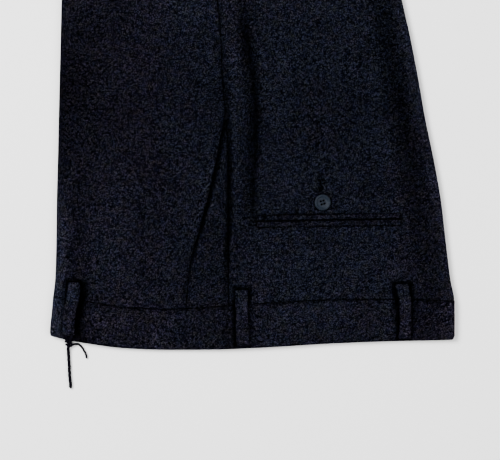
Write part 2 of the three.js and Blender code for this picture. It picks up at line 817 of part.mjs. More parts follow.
// One belt loop of the upper side: two flat feet, and a strap that arches between them.
function addBeltLoop(loop) {
  const carriers = ["right_waistband", "right_front_panel", "right_back_panel", "right_pocket_facing"];
  const meshes = carriers.map(pieceNamed);
  const half = LOOP_WIDTH / 2;
  const xAt = (at) => mix(loop.xBand, loop.xPanel, (at - loop.from) / (loop.to - loop.from));
  const seat = (at) => highestAround(meshes, xAt(at), at, half, 1) + SEAM_GAP;
  const bandZ = Math.max(seat(loop.from + 1), seat(loop.from + LOOP_FOOT));
  const panelZ = Math.max(seat(loop.to - 1), seat(loop.to - LOOP_FOOT));
  const under = [mix(loop.from, loop.to, 0.4), BAND_SEAM, mix(loop.from, loop.to, 0.6)];
  const crest = Math.max(...under.map(seat));
  const crestZ = crest - SEAM_GAP + loop.gap;
  const length = loop.to - loop.from;
  const route = [
    { at: loop.from, z: bandZ },
    { at: loop.from + LOOP_FOOT, z: bandZ },
    { at: loop.from + LOOP_FOOT + 0.1 * length, z: mix(bandZ, crestZ, 0.62) },
    { at: loop.from + LOOP_FOOT + 0.2 * length, z: crestZ },
    { at: mix(loop.from, loop.to, 0.5), z: crestZ + 0.5 },
    { at: loop.to - LOOP_FOOT - 0.2 * length, z: crestZ },
    { at: loop.to - LOOP_FOOT - 0.1 * length, z: mix(panelZ, crestZ, 0.62) },
    { at: loop.to - LOOP_FOOT, z: panelZ },
    { at: loop.to, z: panelZ },
  ];
  const rings = route.map((stop, i) => {
    const before = route[Math.max(i - 1, 0)];
    const after = route[Math.min(i + 1, route.length - 1)];
    const slope = Math.atan2(after.z - before.z, after.at - before.at);
    const thick = LOOP_THICKNESS / Math.cos(slope * 0.5);
    const x = xAt(stop.at);
    const soft = 0.5;
    const outline = [
      [-half, 0.3], [-half + soft, 0], [half - soft, 0], [half, 0.3],
      [half, thick - 0.4], [half - soft, thick], [-half + soft, thick], [-half, thick - 0.4],
    ];
    return outline.map(([dx, dz]) => new THREE.Vector3(x + dx, stop.at, stop.z + dz));
  });
  clothPiece(`right_belt_loop_${loop.name}`, loftedBody(rings));
}

// The same loop on the under side lies flat in the band, so that the garment rests flat.
function addUnderLoop(loop) {
  const { left, right } = underLoopSpan(loop);
  const rings = [left, left + 0.4, right - 0.4, right].map((x, i) => {
    const thin = i === 0 || i === 3 ? 0.3 : 0;
    const from = bandEdge(x) + UNDER_LOOP_INSET;
    const to = bandSeam(x) - UNDER_LOOP_INSET;
    return [
      new THREE.Vector3(x, from, thin),
      new THREE.Vector3(x, to, thin),
      new THREE.Vector3(x, to, UNDER_LOOP_THICKNESS),
      new THREE.Vector3(x, from, UNDER_LOOP_THICKNESS),
    ];
  });
  clothPiece(`left_belt_loop_${loop.name}`, loftedBody(rings));
}

// The two welts of the back pocket, each a folded strip that lies on the panel.
function addWelts() {
  const panel = [pieceNamed("right_back_panel")];
  const steps = 14;
  const strips = [
    { name: "back_pocket_upper_welt", near: 0.3, far: UPPER_WELT_WIDTH },
    { name: "back_pocket_lower_welt", near: -0.3, far: -LOWER_WELT_WIDTH },
  ];
  for (const strip of strips) {
    const rings = [];
    for (let i = 0; i <= steps; i += 1) {
      const x = mix(WELT_LEFT, WELT_RIGHT, i / steps);
      const from = Math.min(weltMouth(x) + strip.near, weltMouth(x) + strip.far);
      const to = Math.max(weltMouth(x) + strip.near, weltMouth(x) + strip.far);
      const z = highestAround(panel, x, (from + to) / 2, 5, (to - from) / 2) + SEAM_GAP;
      rings.push(bandSection(x, from, to, z, z + WELT_THICKNESS, 0.45, (place) => place));
    }
    clothPiece(strip.name, loftedBody(rings));
  }
}

// Turns a geometry into a solid that can be cut.
function solidOf(geometry) {
  const bare = geometry.clone();
  bare.deleteAttribute("normal");
  bare.deleteAttribute("uv");
  const merged = mergeVertices(bare, 1e-4);
  return new wasm.Manifold(new wasm.Mesh({
    numProp: 3,
    vertProperties: new Float32Array(merged.getAttribute("position").array),
    triVerts: new Uint32Array(merged.getIndex().array),
  }));
}

function geometryOf(solid) {
  const mesh = solid.getMesh();
  const geometry = new THREE.BufferGeometry();
  geometry.setAttribute("position", new THREE.BufferAttribute(mesh.vertProperties, 3));
  geometry.setIndex(new THREE.BufferAttribute(mesh.triVerts, 1));
  return geometry;
}

// The pocket's button: a rim round a dished middle with four holes through it.
function addButton() {
  const profile = [
    { r: 0, z: 0 },
    { r: 0.62, z: 0 },
    { r: 0.9, z: 0.22 },
    { r: 1, z: 0.52 },
    { r: 0.96, z: 0.86 },
    { r: 0.86, z: 1 },
    { r: 0.74, z: 0.88 },
    { r: 0.62, z: 0.68 },
    { r: 0, z: 0.62 },
  ].map(({ r, z }) => new THREE.Vector2(r * BUTTON_RADIUS, z * BUTTON_HEIGHT));
  const disc = new THREE.LatheGeometry(profile, 28);
  disc.rotateX(Math.PI / 2);
  let solid = solidOf(disc);
  for (let k = 0; k < 4; k += 1) {
    const angle = Math.PI / 4 + 0.3 + (k * Math.PI) / 2;
    const drill = new THREE.CylinderGeometry(BUTTON_HOLE_RADIUS, BUTTON_HOLE_RADIUS, 3 * BUTTON_HEIGHT, 8);
    drill.rotateX(Math.PI / 2);
    const reach = BUTTON_HOLE_SPACING / Math.SQRT2;
    drill.translate(reach * Math.cos(angle), reach * Math.sin(angle), 0);
    solid = solid.subtract(solidOf(drill));
  }
  const geometry = geometryOf(solid);
  const panel = [pieceNamed("right_back_panel")];
  const half = BUTTON_RADIUS * 0.75;
  const z = highestAround(panel, BUTTON_X, BUTTON_AT, half, half) + SEAM_GAP;
  geometry.translate(BUTTON_X, BUTTON_AT, z);
  addPiece("back_pocket_button", geometry, 0x39424f, 0.45);
}

// A round cord along a route given by hand.
function cordGeometry(route, radius) {
  const points = route.map(({ x, at, rise: lift }) => {
    return new THREE.Vector3(x, at, radius + CORD_FLOOR + lift * radius);
  });
  const curve = new THREE.CatmullRomCurve3(points, false, "centripetal");
  const section = new THREE.Shape();
  const sides = 8;
  for (let k = 0; k < sides; k += 1) {
    const angle = (2 * Math.PI * k) / sides;
    const x = radius * Math.cos(angle);
    const y = radius * Math.sin(angle);
    if (k === 0) section.moveTo(x, y);
    else section.lineTo(x, y);
  }
  section.closePath();
  return new THREE.ExtrudeGeometry(section, {
    steps: 2 * route.length,
    extrudePath: curve,
    curveSegments: 1,
  });
}

// The cord's two ends, and its knot against the waist edge, cut clear of both.
function addCord() {
  const long = addPiece("waist_cord_long_end", cordGeometry(CORD_ROUTE, CORD_RADIUS), 0x16171d, 0.85);
  const short = addPiece("waist_cord_short_end", cordGeometry(TAIL_ROUTE, TAIL_RADIUS), 0x16171d, 0.85);
  const ball = new THREE.SphereGeometry(1, 12, 8);
  ball.scale(KNOT_HALF_WIDTH, KNOT_HALF_LENGTH, KNOT_HALF_HEIGHT);
  ball.translate(KNOT_X, KNOT_AT, KNOT_HALF_HEIGHT + CORD_FLOOR);
  const room = (mesh, radius, route) => {
    return solidOf(cordGeometry(route, radius + SEAM_GAP)).add(solidOf(mesh.geometry));
  };
  const knot = solidOf(ball)
    .subtract(room(long, CORD_RADIUS, CORD_ROUTE))
    .subtract(room(short, TAIL_RADIUS, TAIL_ROUTE));
  addPiece("waist_cord_knot", geometryOf(knot), 0x16171d, 0.85);
}

addPanels();
addPocketing();
addFlyShield();
addWaistband();
LOOPS.forEach(addBeltLoop);
LOOPS.forEach(addUnderLoop);
addWelts();
addButton();
addCord();

// The origin lies under the middle of the garment, on what it rests on. The cord is left out of it.
const box = new THREE.Box3();
group.children.filter((mesh) => !mesh.name.startsWith("waist_cord")).forEach((mesh) => {
  mesh.geometry.computeBoundingBox();
  box.union(mesh.geometry.boundingBox);
});
group.position.set(-(box.min.x + box.max.x) / 2, -(box.min.y + box.max.y) / 2, -box.min.z);

export default group;
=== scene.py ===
"""Looks of the tailored trousers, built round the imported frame.

The trousers lie flat: right leg on left leg, front to the left, waist towards the viewer. Places on
the garment are plan millimetres, as in the part: x from the front to the seat, at from the waist
edge to the hems, z from the floor. `in_frame` turns them into the frame's metres.
"""

from __future__ import annotations

import logging
import math
from collections.abc import Callable, Iterable
from dataclasses import dataclass, field
from enum import Enum
from functools import partial

import bpy
import numpy as np
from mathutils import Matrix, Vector

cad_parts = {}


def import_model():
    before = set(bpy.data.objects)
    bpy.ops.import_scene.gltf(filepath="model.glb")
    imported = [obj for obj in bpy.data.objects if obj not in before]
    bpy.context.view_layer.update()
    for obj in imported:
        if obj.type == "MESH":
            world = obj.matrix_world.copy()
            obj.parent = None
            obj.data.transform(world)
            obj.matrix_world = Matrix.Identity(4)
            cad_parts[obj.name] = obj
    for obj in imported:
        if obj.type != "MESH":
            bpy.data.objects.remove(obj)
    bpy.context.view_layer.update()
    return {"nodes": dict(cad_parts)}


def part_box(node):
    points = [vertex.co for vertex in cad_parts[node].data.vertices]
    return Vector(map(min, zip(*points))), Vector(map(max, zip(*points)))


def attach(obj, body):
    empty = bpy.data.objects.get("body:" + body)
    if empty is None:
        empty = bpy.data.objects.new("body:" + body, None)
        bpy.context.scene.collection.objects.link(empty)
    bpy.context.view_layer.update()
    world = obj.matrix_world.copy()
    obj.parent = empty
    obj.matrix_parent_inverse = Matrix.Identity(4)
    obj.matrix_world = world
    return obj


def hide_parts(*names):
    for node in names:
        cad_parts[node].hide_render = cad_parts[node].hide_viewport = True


Array = np.ndarray
Curve = Callable[[Array], Array]
Surface = Callable[[Array, Array], Array]
Rows = tuple[tuple[float, ...], ...]
Material = bpy.types.Material
Socket = bpy.types.NodeSocket
Thing = bpy.types.Object

LOG = logging.getLogger("trousers")
MM = 0.001
ORIGIN_X = 231.906
ORIGIN_AT = 520.027

CLOTH = 1.5
SEAM_GAP = 0.3
BAND_GAP = -0.4
LAYER_STEP = CLOTH + SEAM_GAP
LEFT_OUTER_Z = CLOTH / 2
LEFT_INNER_Z = LEFT_OUTER_Z + LAYER_STEP
RIGHT_INNER_Z = LEFT_INNER_Z + LAYER_STEP
RIGHT_OUTER_Z = RIGHT_INNER_Z + LAYER_STEP
BAND_SEAM = 45.0
CROTCH = 268.0
HEM = 1040.0
MOUTH_END = 214.0
SHADE_CAP = 0.84


class Slot(Enum):
    """The material slots."""

    WOOL = "wool"
    POCKETING = "pocketing"
    BUTTON = "button"
    CORD = "cord"


class Leg(Enum):
    """The two legs: the right one lies on top of the left one."""

    RIGHT = "right"
    LEFT = "left"


def rise(place: Array, start: Array, end: Array) -> Array:
    """Rises softly from 0 to 1 between two places."""
    t = np.clip((place - start) / (end - start), 0.0, 1.0)
    return t * t * (3.0 - 2.0 * t)


def bump(distance: Array, half_width: Array) -> Array:
    """Makes a soft bump, 1 in its middle."""
    t = np.minimum(np.abs(distance) / half_width, 1.0)
    return (1.0 - t * t) ** 2


def mix(a: Array, b: Array, share: Array) -> Array:
    """Blends two values."""
    return a + (b - a) * share


def curve_through(places: Iterable[float], values: Iterable[float]) -> Curve:
    """Draws a smooth curve through points, which never overshoots them.

    Args:
        places: Rising places along the garment or across it.
        values: The curve's value at each place.

    Returns:
        A function of the place.
    """
    p = np.array(list(places), float)
    v = np.array(list(values), float)
    slopes = np.diff(v) / np.diff(p)
    tangents = np.concatenate([slopes[:1], np.zeros(len(p) - 2), slopes[-1:]])
    a, b = slopes[:-1], slopes[1:]
    same_way = a * b > 0
    tangents[1:-1] = np.where(same_way, 2 * a * b / np.where(same_way, a + b, 1.0), 0.0)

    def value(place: Array) -> Array:
        """Reads the curve, which stays level past its ends."""
        held = np.clip(place, p[0], p[-1])
        i = np.clip(np.searchsorted(p, held) - 1, 0, len(p) - 2)
        span = p[i + 1] - p[i]
        t = (held - p[i]) / span
        near = (2 * t**3 - 3 * t**2 + 1) * v[i] + (t**3 - 2 * t**2 + t) * span * tangents[i]
        far = (3 * t**2 - 2 * t**3) * v[i + 1] + (t**3 - t**2) * span * tangents[i + 1]
        return near + far

    return value


@dataclass(frozen=True)
class Table:
    """A short table with named columns."""

    columns: tuple[str, ...]
    rows: Rows

    def column(self, name: str) -> list[float]:
        """Reads one column."""
        return [row[self.columns.index(name)] for row in self.rows]

    def curve(self, name: str) -> Curve:
        """Draws a smooth curve through one column, along the first one."""
        return curve_through(self.column(self.columns[0]), self.column(name))


OUTLINE = Table(
    ("at", "front", "side", "seat"),
    (
        (0, 45.7, 210.9, 418.6), (45, 48.8, 210.7, 418.2), (64, 50.6, 210.5, 414.7),
        (100, 51.5, 210.3, 410.3), (138, 52.0, 210.1, 405.8), (174, 52.9, 209.9, 399.4),
        (211, 53.7, 208.3, 391.7), (248, 54.6, 204.8, 385.2), (285, 55.5, 203.4, 378.1),
        (321, 56.3, 200.1, 370.1), (400, 58.2, 192.0, 353.4), (500, 60.6, 184.0, 334.9),
        (600, 63.2, 178.5, 319.9), (800, 68.1, 173.0, 299.4), (1040, 74.0, 169.5, 281.4),
    ),
)
TURNED_IN = Table(
    ("at", "front", "seat"),
    (
        (45, 8, 14), (80, 8, 45), (120, 9, 70), (160, 13, 86), (200, 30, 100), (225, 54, 117),
        (245, 84, 137), (268, 153, 166),
    ),
)
POCKET_MOUTH = Table(
    ("at", "x"),
    (
        (45, 171.0), (70, 173.6), (90, 177.5), (113, 184.8), (155, 195.2), (192, 202.6), (214, 207.8),
        (240, 215.0),
    ),
)
BAND = Table(
    ("x", "edge", "seam"),
    (
        (45.7, 15.0, 49.9), (46.4, 12.8, 49.6), (48.5, 11.8, 49.3), (80, 5.4, 44.9), (115, 1.0, 39.4),
        (155, -0.5, 37.5), (195, -0.3, 39.7), (230, 1.0, 42.2), (265, 2.8, 44.3), (300, 5.0, 46.2),
        (360, 7.4, 46.6), (415.4, 8.7, 45.3), (417.6, 10.1, 45.2), (418.5, 12.6, 45.1),
    ),
)


@dataclass(frozen=True)
class Fold:
    """A soft line along the garment: a ridge, or a groove where its height is below zero; in SHADES the same
    line is painted shade, or painted highlight below zero.
    """

    name: str
    left: float
    right: float
    rows: Rows

    def height(self, x: Array, at: Array) -> Array:
        """Works out what the fold adds.

        Args:
            x: Places across.
            at: Places along.

        Returns:
            The added height in millimetres, or for a line in SHADES the painted shade.
        """
        table = Table(("at", "x", "height"), self.rows)
        distance = x - table.curve("x")(at)
        wide = np.where(distance < 0, self.left, self.right)
        return table.curve("height")(at) * bump(distance, wide)


FOLDS = (
    Fold("ridge at the side seam", 9, 9, (
        (60, 219, 0.1), (110, 219, 0.7), (160, 218.5, 1.1), (262, 217, 1.2), (321, 214, 1.0),
        (400, 206, 0.6), (520, 198, 0),
    )),
    Fold("groove behind the ridge", 11, 11, (
        (60, 231, 0), (110, 231.6, -1.2), (160, 233.8, -1.9), (200, 235.8, -2.0), (220, 234.2, -2.1),
        (262, 231.8, -2.3), (321, 227.6, -2.2), (400, 219, -1.2), (520, 210, 0),
    )),
    Fold("crest from the front of the waist to the side seam", 34, 24, (
        (48, 106, 0.3), (70, 109, 1.2), (96, 115, 1.7), (156, 126, 1.8), (193, 143, 1.7), (230, 164, 1.5),
        (303, 186, 1.3), (380, 194, 0.4), (430, 196, 0),
    )),
    Fold("valley behind the front fold", 18, 26, (
        (140, 84, 0), (200, 84, -0.9), (321, 86, -1.3), (430, 90, -0.5), (540, 94, 0),
    )),
    Fold("valley before the pocket's mouth", 16, 16, (
        (60, 148, 0), (96, 155, -0.6), (156, 158, -0.6), (193, 170, -0.5), (240, 186, 0),
    )),
    Fold("dip beyond the button", 13, 15, (
        (140, 294, 0), (170, 293, -0.4), (200, 292, -0.4), (240, 290, 0),
    )),
    Fold("dip in the thigh", 20, 22, ((250, 300, 0), (330, 326, -0.5), (430, 318, 0))),
    Fold("crease above the knee", 18, 20, (
        (470, 96, 0), (540, 118, -0.7), (600, 138, -0.5), (640, 150, 0),
    )),
    Fold("crease behind the knee", 18, 18, ((540, 262, 0), (600, 246, -0.7), (680, 226, 0))),
    Fold("dip in the shin", 20, 22, ((680, 142, 0), (760, 150, -0.5), (880, 156, 0))),
    Fold("dip in the calf", 16, 18, ((800, 232, 0), (890, 222, -0.5), (960, 216, 0))),
)
CREASES = (
    Fold("dart", 1.1, 1.1, ((46, 304.6, -0.5), (90, 305.6, -0.5), (112, 305.9, -0.1))),
    Fold("seat side of the dart", 6, 7, ((46, 313, 0.25), (90, 313, 0.25), (116, 312, 0))),
    Fold("dimple at the button", 4, 4, ((143, 294.4, 0), (150, 294.4, -0.5), (160, 294.2, 0))),
    Fold("fine line in the groove", 3, 3, (
        (120, 233, 0), (200, 236, -0.5), (321, 227.8, -0.6), (440, 214, 0),
    )),
    Fold("pull below the front loop", 5, 8, ((52, 77, 0), (66, 79, -0.35), (110, 84, 0))),
    Fold("pull below the seat loop", 5, 7, ((52, 380, 0), (70, 379, -0.3), (112, 374, 0))),
    Fold("ease at the tack", 4, 5, ((196, 216, 0), (213, 215, -0.4), (238, 219, 0))),
    Fold("valley at the side seam", 6, 5, (
        (60, 209.8, 0), (90, 209.4, -0.6), (140, 210.0, -1.0), (185, 209.4, -0.6), (230, 207, -0.4),
        (330, 200, 0),
    )),
    Fold("crotch pull", 7, 12, ((215, 92, 0), (262, 78, -0.35), (318, 68, 0))),
    Fold("seat pull", 10, 8, ((170, 330, 0), (230, 352, -0.4), (300, 360, 0))),
    Fold("knee line", 6, 9, ((500, 92, 0), (548, 116, -0.4), (590, 132, 0))),
    Fold("knee line behind", 8, 6, ((560, 266, 0), (604, 248, -0.4), (650, 232, 0))),
    Fold("second knee line", 7, 7, ((596, 80, 0), (636, 104, -0.35), (668, 122, 0))),
    Fold("calf line", 7, 8, ((700, 240, 0), (762, 224, -0.35), (820, 206, 0))),
    Fold("ankle line", 6, 7, ((930, 110, 0), (968, 128, -0.3), (1006, 140, 0))),
)
UNDER_CREASES = (
    Fold("inner knee line", 9, 12, ((470, 120, 0), (560, 150, 0.4), (640, 172, 0))),
    Fold("inner calf line", 9, 12, ((700, 230, 0), (780, 214, 0.4), (860, 200, 0))),
)


# Painted shade along the groove, the side seam, the pocket's mouth, beside the front roll and the seat fold,
# in the dimples and below the front loop; painted highlight where the height is below zero, on the ridge,
# the front roll and the seat fold.
SHADES = (
    Fold("in the groove", 12, 12, (
        (112, 230.0, 0), (126, 231.2, 0.35), (140, 231.6, 0.5), (156, 232.2, 0.55), (184, 233.8, 0.6),
        (211, 234.6, 0.64), (239, 233.6, 0.66), (257, 231.8, 0.68), (276, 228.4, 0.72), (294, 226.4, 0.66),
        (312, 226.0, 0.38), (400, 217.0, 0.4), (520, 209, 0),
    )),
    Fold("core of the groove", 4.2, 4.6, (
        (108, 231.5, 0), (118, 231.8, 0.5), (133, 232.6, 0.6), (156, 233.0, 0.6), (184, 235.2, 0.62),
        (211, 235.6, 0.66), (239, 234.2, 0.6), (257, 232.2, 0.55), (276, 229.0, 0.35), (294, 226.6, 0.3),
        (312, 227.0, 0.1), (400, 219.0, 0.1), (480, 212, 0),
    )),
    Fold("beside the side seam", 5.6, 4.4, (
        (46, 207.8, 0.5), (68, 208.4, 0.55), (85, 209.2, 0.85), (100, 209.8, 1.05), (112, 210.8, 1.1),
        (140, 211.2, 1.1), (170, 211.2, 0.95), (190, 210.8, 0.75), (210, 210.2, 0.6), (224, 208.8, 0.6),
        (257, 205.6, 0.5), (276, 204.0, 0.35), (292, 203.0, 0.12), (308, 201.6, 0.2), (340, 198, 0.15),
        (400, 193, 0.1), (480, 186, 0),
    )),
    Fold("inside the pocket's mouth", 4.0, 4.2, (
        (46, 170.2, 0.35), (62, 172.4, 0.45), (80, 175.8, 0.55), (96, 180.2, 0.85), (113, 185.6, 0.95),
        (155, 196.6, 1.0), (176, 201.0, 1.0), (198, 205.0, 0.9), (212, 207.6, 0.6), (224, 210.0, 0),
    )),
    Fold("light ridge", 7, 6, (
        (120, 218, 0), (160, 218, -0.12), (230, 217, -0.2), (290, 213.5, -0.2), (321, 212, -0.1),
        (380, 205, 0),
    )),
    Fold("light front roll", 13, 10, (
        (4, 50, -1.5), (40, 52, -1.4), (62, 54, -0.9), (95, 55, -0.8), (130, 57, -0.4), (152, 58, 0),
    )),
    Fold("behind the front roll", 12, 16, ((60, 70, 0.1), (100, 70, 0.25), (150, 72, 0.15), (170, 73, 0))),
    Fold("before the seat fold", 22, 20, (
        (10, 392, 0.1), (45, 394, 0.3), (100, 390, 0.45), (138, 384, 0.55), (211, 371, 0.6),
        (285, 357, 0.55), (330, 348, 0.4), (480, 320, 0),
    )),
    Fold("light seat fold", 9, 9, (
        (10, 415, -0.3), (45, 415, -0.3), (100, 409, -0.35), (138, 404, -0.4), (211, 388, -0.5),
        (285, 375, -0.5), (330, 366, -0.3), (480, 338, 0),
    )),
    Fold("dimple past the button", 4.5, 4.5, (
        (140, 294.4, 0.2), (148, 294.8, 0.85), (158, 295.6, 0.6), (168, 296, 0),
    )),
    Fold("dimple farther on", 4.5, 4.5, ((180, 292.6, 0), (199, 292.6, 0.5), (216, 292.4, 0))),
    Fold("below the front loop", 8, 22, ((0, 72, 0.8), (8, 72, 0.75), (13, 72, 0))),
)


@dataclass(frozen=True)
class ShadePatch:
    """A soft patch of painted shade, or of painted light where it is below zero."""

    x: float
    at: float
    wide: float
    long: float
    darker: float

    def amount(self, x: Array, at: Array) -> Array:
        """Works out how dark the patch is."""
        return self.darker * bump(x - self.x, self.wide) * bump(at - self.at, self.long)


# Painted shade and painted light in broad patches, where the light falls unevenly across the garment.
SHADE_PATCHES = (
    ShadePatch(x=62, at=232, wide=52, long=120, darker=0.55),
    ShadePatch(x=80, at=290, wide=40, long=60, darker=0.1),
    ShadePatch(x=105, at=225, wide=34, long=110, darker=0.15),
    ShadePatch(x=205, at=110, wide=26, long=90, darker=0.25),
    ShadePatch(x=208, at=235, wide=22, long=80, darker=0.2),
    ShadePatch(x=170, at=330, wide=50, long=70, darker=-0.3),
    ShadePatch(x=138, at=200, wide=75, long=170, darker=0.15),
    ShadePatch(x=108, at=318, wide=42, long=60, darker=0.15),
    ShadePatch(x=290, at=345, wide=90, long=60, darker=-0.35),
    ShadePatch(x=104, at=110, wide=28, long=80, darker=-0.22),
    ShadePatch(x=108, at=28, wide=26, long=34, darker=-0.3),
    ShadePatch(x=160, at=95, wide=40, long=60, darker=0.1),
    ShadePatch(x=300, at=235, wide=90, long=95, darker=0.08),
    ShadePatch(x=300, at=60, wide=110, long=80, darker=-0.2),
    ShadePatch(x=390, at=28, wide=24, long=50, darker=0.12),
)


def soft_noise(x: Array, at: Array, cell: float, seed: int) -> Array:
    """Makes an uneven surface from a lattice of random heights.

    Args:
        x: Places across.
        at: Places along.
        cell: The lattice's spacing in millimetres.
        seed: The random lattice's seed.

    Returns:
        Values between -1 and 1.
    """
    lattice = np.random.default_rng(seed).uniform(-1.0, 1.0, (256, 256))
    u = np.asarray(x, float) / cell + 40.0
    v = np.asarray(at, float) / cell + 40.0
    i, j = np.floor(u).astype(int), np.floor(v).astype(int)
    s, t = rise(u - i, 0.0, 1.0), rise(v - j, 0.0, 1.0)
    i, j = i % 255, j % 255
    low = mix(lattice[i, j], lattice[i + 1, j], s)
    high = mix(lattice[i, j + 1], lattice[i + 1, j + 1], s)
    return mix(low, high, t)


def purple_share(x: Array, at: Array) -> Array:
    """Says how purple the melange looks, which is bluer on the back panel.

    Args:
        x: Places across.
        at: Places along.

    Returns:
        The share, 0 where it is blue and 1 where it is purple.
    """
    front = 0.62 - 0.42 * rise(x, 135.0, 165.0) - 0.15 * rise(x, 225.0, 250.0) + 0.4 * rise(x, 345.0, 380.0)
    band = 0.25 * (1.0 - rise(at, 35.0, 55.0))
    welt = 0.35 * Welts.shadow(x, at)
    # Bluer on the front roll near the waist, the colour of its painted highlight.
    roll = 0.4 * (1.0 - rise(x, 54.0, 72.0)) * (1.0 - rise(at, 60.0, 110.0))
    low = 0.16 * (1.0 - rise(at, 150.0, 190.0)) * (1.0 - rise(x, 130.0, 150.0))
    uneven = 0.22 * soft_noise(x, at, 24.0, 51) + 0.12 * soft_noise(x, at, 9.0, 52)
    return front - roll - low + band + welt + uneven


@dataclass(frozen=True)
class Layers:
    """The garment's plan and the heights of its four layers of cloth."""

    left_loft: float = 1.0
    inner_loft: float = 0.9
    waist_loft: float = 2.0
    leg_loft: float = 2.4
    hem_loft: float = 1.3
    front_roll: float = 30.0
    seat_roll: float = 50.0
    inseam_shift: float = 6.0
    welt_sink: float = 0.7
    front: Curve = field(default=OUTLINE.curve("front"))
    side: Curve = field(default=OUTLINE.curve("side"))
    seat: Curve = field(default=OUTLINE.curve("seat"))
    mouth: Curve = field(default=POCKET_MOUTH.curve("x"))
    band_edge: Curve = field(default=BAND.curve("edge"))
    band_seam: Curve = field(default=BAND.curve("seam"))

    def fullness(self, x: Array, at: Array) -> Array:
        """Says how full the garment is, 0 at both folds and 1 away from them."""
        from_front = rise(x - self.front(at), 0.0, self.front_roll)
        return from_front * rise(self.seat(at) - x, 0.0, self.seat_roll)

    def left_inner_loft(self, x: Array, at: Array) -> Array:
        """Lifts the lower leg's inner layer."""
        along = rise(at, 235.0, 340.0) * mix(1.0, 0.55, rise(at, 420.0, HEM))
        return self.left_loft * along * self.fullness(x, at)

    def right_inner_loft(self, x: Array, at: Array) -> Array:
        """Lifts the upper leg's inner layer."""
        along = rise(at, 235.0, 340.0) * mix(1.0, 0.5, rise(at, 420.0, HEM))
        return self.left_inner_loft(x, at) + self.inner_loft * along * self.fullness(x, at)

    def upper_air(self, x: Array, at: Array) -> Array:
        """Lifts the upper leg's outer layer from its inner one.

        Args:
            x: Places across.
            at: Places along.

        Returns:
            The lift in millimetres.
        """
        waist = self.waist_loft * rise(at, BAND_SEAM, BAND_SEAM + 24.0)
        leg = mix(waist, self.leg_loft, rise(at, 240.0, 340.0))
        return mix(leg, self.hem_loft, rise(at, 420.0, HEM)) * self.fullness(x, at)

    def right_outer(self, x: Array, at: Array) -> Array:
        """Finds the middle of the layer that shows, with all its folds.

        Args:
            x: Places across.
            at: Places along.

        Returns:
            Its height in millimetres.
        """
        folds = sum(fold.height(x, at) for fold in FOLDS)
        creases = sum(fold.height(x, at) for fold in CREASES)
        uneven = 0.22 * soft_noise(x, at * 0.6, 26.0, 3) + 0.1 * soft_noise(x, at, 9.0, 5)
        over_welts = bump(at - Welts.mouth_at(x), 15.0)
        within = rise(x, Welts.left - 8.0, Welts.left) * rise(Welts.right + 8.0 - x, 0.0, 8.0)
        sunk = self.welt_sink * over_welts * within
        lift = self.upper_air(x, at) + folds + creases - sunk
        lift = lift + uneven * self.fullness(x, at)
        held = 0.5 * (lift + np.sqrt(lift**2 + 0.09))
        return RIGHT_OUTER_Z + self.right_inner_loft(x, at) + held

    def right_inner(self, x: Array, at: Array) -> Array:
        """Finds the middle of the upper leg's inner layer."""
        return RIGHT_INNER_Z + self.right_inner_loft(x, at)

    def left_inner(self, x: Array, at: Array) -> Array:
        """Finds the middle of the lower leg's inner layer."""
        return LEFT_INNER_Z + self.left_inner_loft(x, at)

    def left_outer(self, x: Array, at: Array) -> Array:
        """Finds the middle of the layer that lies on the floor, which presses it flat."""
        lines = sum(fold.height(x, at) for fold in UNDER_CREASES)
        return LEFT_OUTER_Z + lines * self.fullness(x, at)

    def along_panel(self, x: Array, at: Array) -> Array:
        """Finds where a point lies once the waist end follows the waistband's seam."""
        shift = self.band_seam(x) + BAND_GAP - BAND_SEAM
        return at + shift * (1.0 - rise(at, BAND_SEAM, BAND_SEAM + 60.0))

    def inseam(self, at: Array) -> Array:
        """Finds where the two turned-in parts of a leg meet."""
        return self.side(at) + self.inseam_shift

    def band_wave(self, x: Array) -> Array:
        """Lifts the upper waistband here and there."""
        return 0.35 * np.sin(x / 31.0) + 0.25 * np.sin(x / 17.0 + 1.2) + 0.35

    def plain_shading(self, x: Array, at: Array) -> Array:
        """Says how much darker the nap looks where nothing is sewn on."""
        return 0.1 * soft_noise(x, at, 38.0, 11) + 0.06 * soft_noise(x, at, 14.0, 12)

    def shading(self, x: Array, at: Array) -> Array:
        """Says how much darker the cloth is painted on the side that faces up: random tone, painted shade
        and light in patches and along folds, and painted shadows round the loops, the welts and the button.

        Args:
            x: Places across.
            at: Places along.

        Returns:
            The darkening, below zero where it looks lighter.
        """
        lit = 1.0 - self.plain_shading(x, at)
        for patch in SHADE_PATCHES:
            lit = lit * (1.0 - patch.amount(x, at))
        for shade in SHADES:
            lit = lit * (1.0 - np.minimum(shade.height(x, at), SHADE_CAP))
        for loop in LOOPS:
            lit = lit * (1.0 - loop.shadow(x, at))
        return 1.0 - lit * (1.0 - Welts.shadow(x, at)) * (1.0 - Button.shadow(x, at))


def in_frame(points: Array) -> Array:
    """Turns plan millimetres into the frame's metres."""
    return (np.asarray(points, float) - (ORIGIN_X, ORIGIN_AT, 0.0)) * MM


def grid_quads(rows: int, columns: int, round_rows: bool = False) -> Array:
    """Lists the quads of a grid of points.

    Args:
        rows: How many rows the grid has.
        columns: How many points each row has.
        round_rows: Whether each row is a closed ring.

    Returns:
        Four point numbers a quad.
    """
    steps = columns if round_rows else columns - 1
    i, j = np.meshgrid(np.arange(rows - 1), np.arange(steps), indexing="ij")
    near = i * columns + j
    beside = i * columns + (j + 1) % columns
    return np.stack([near, beside, beside + columns, near + columns], -1).reshape(-1, 4)


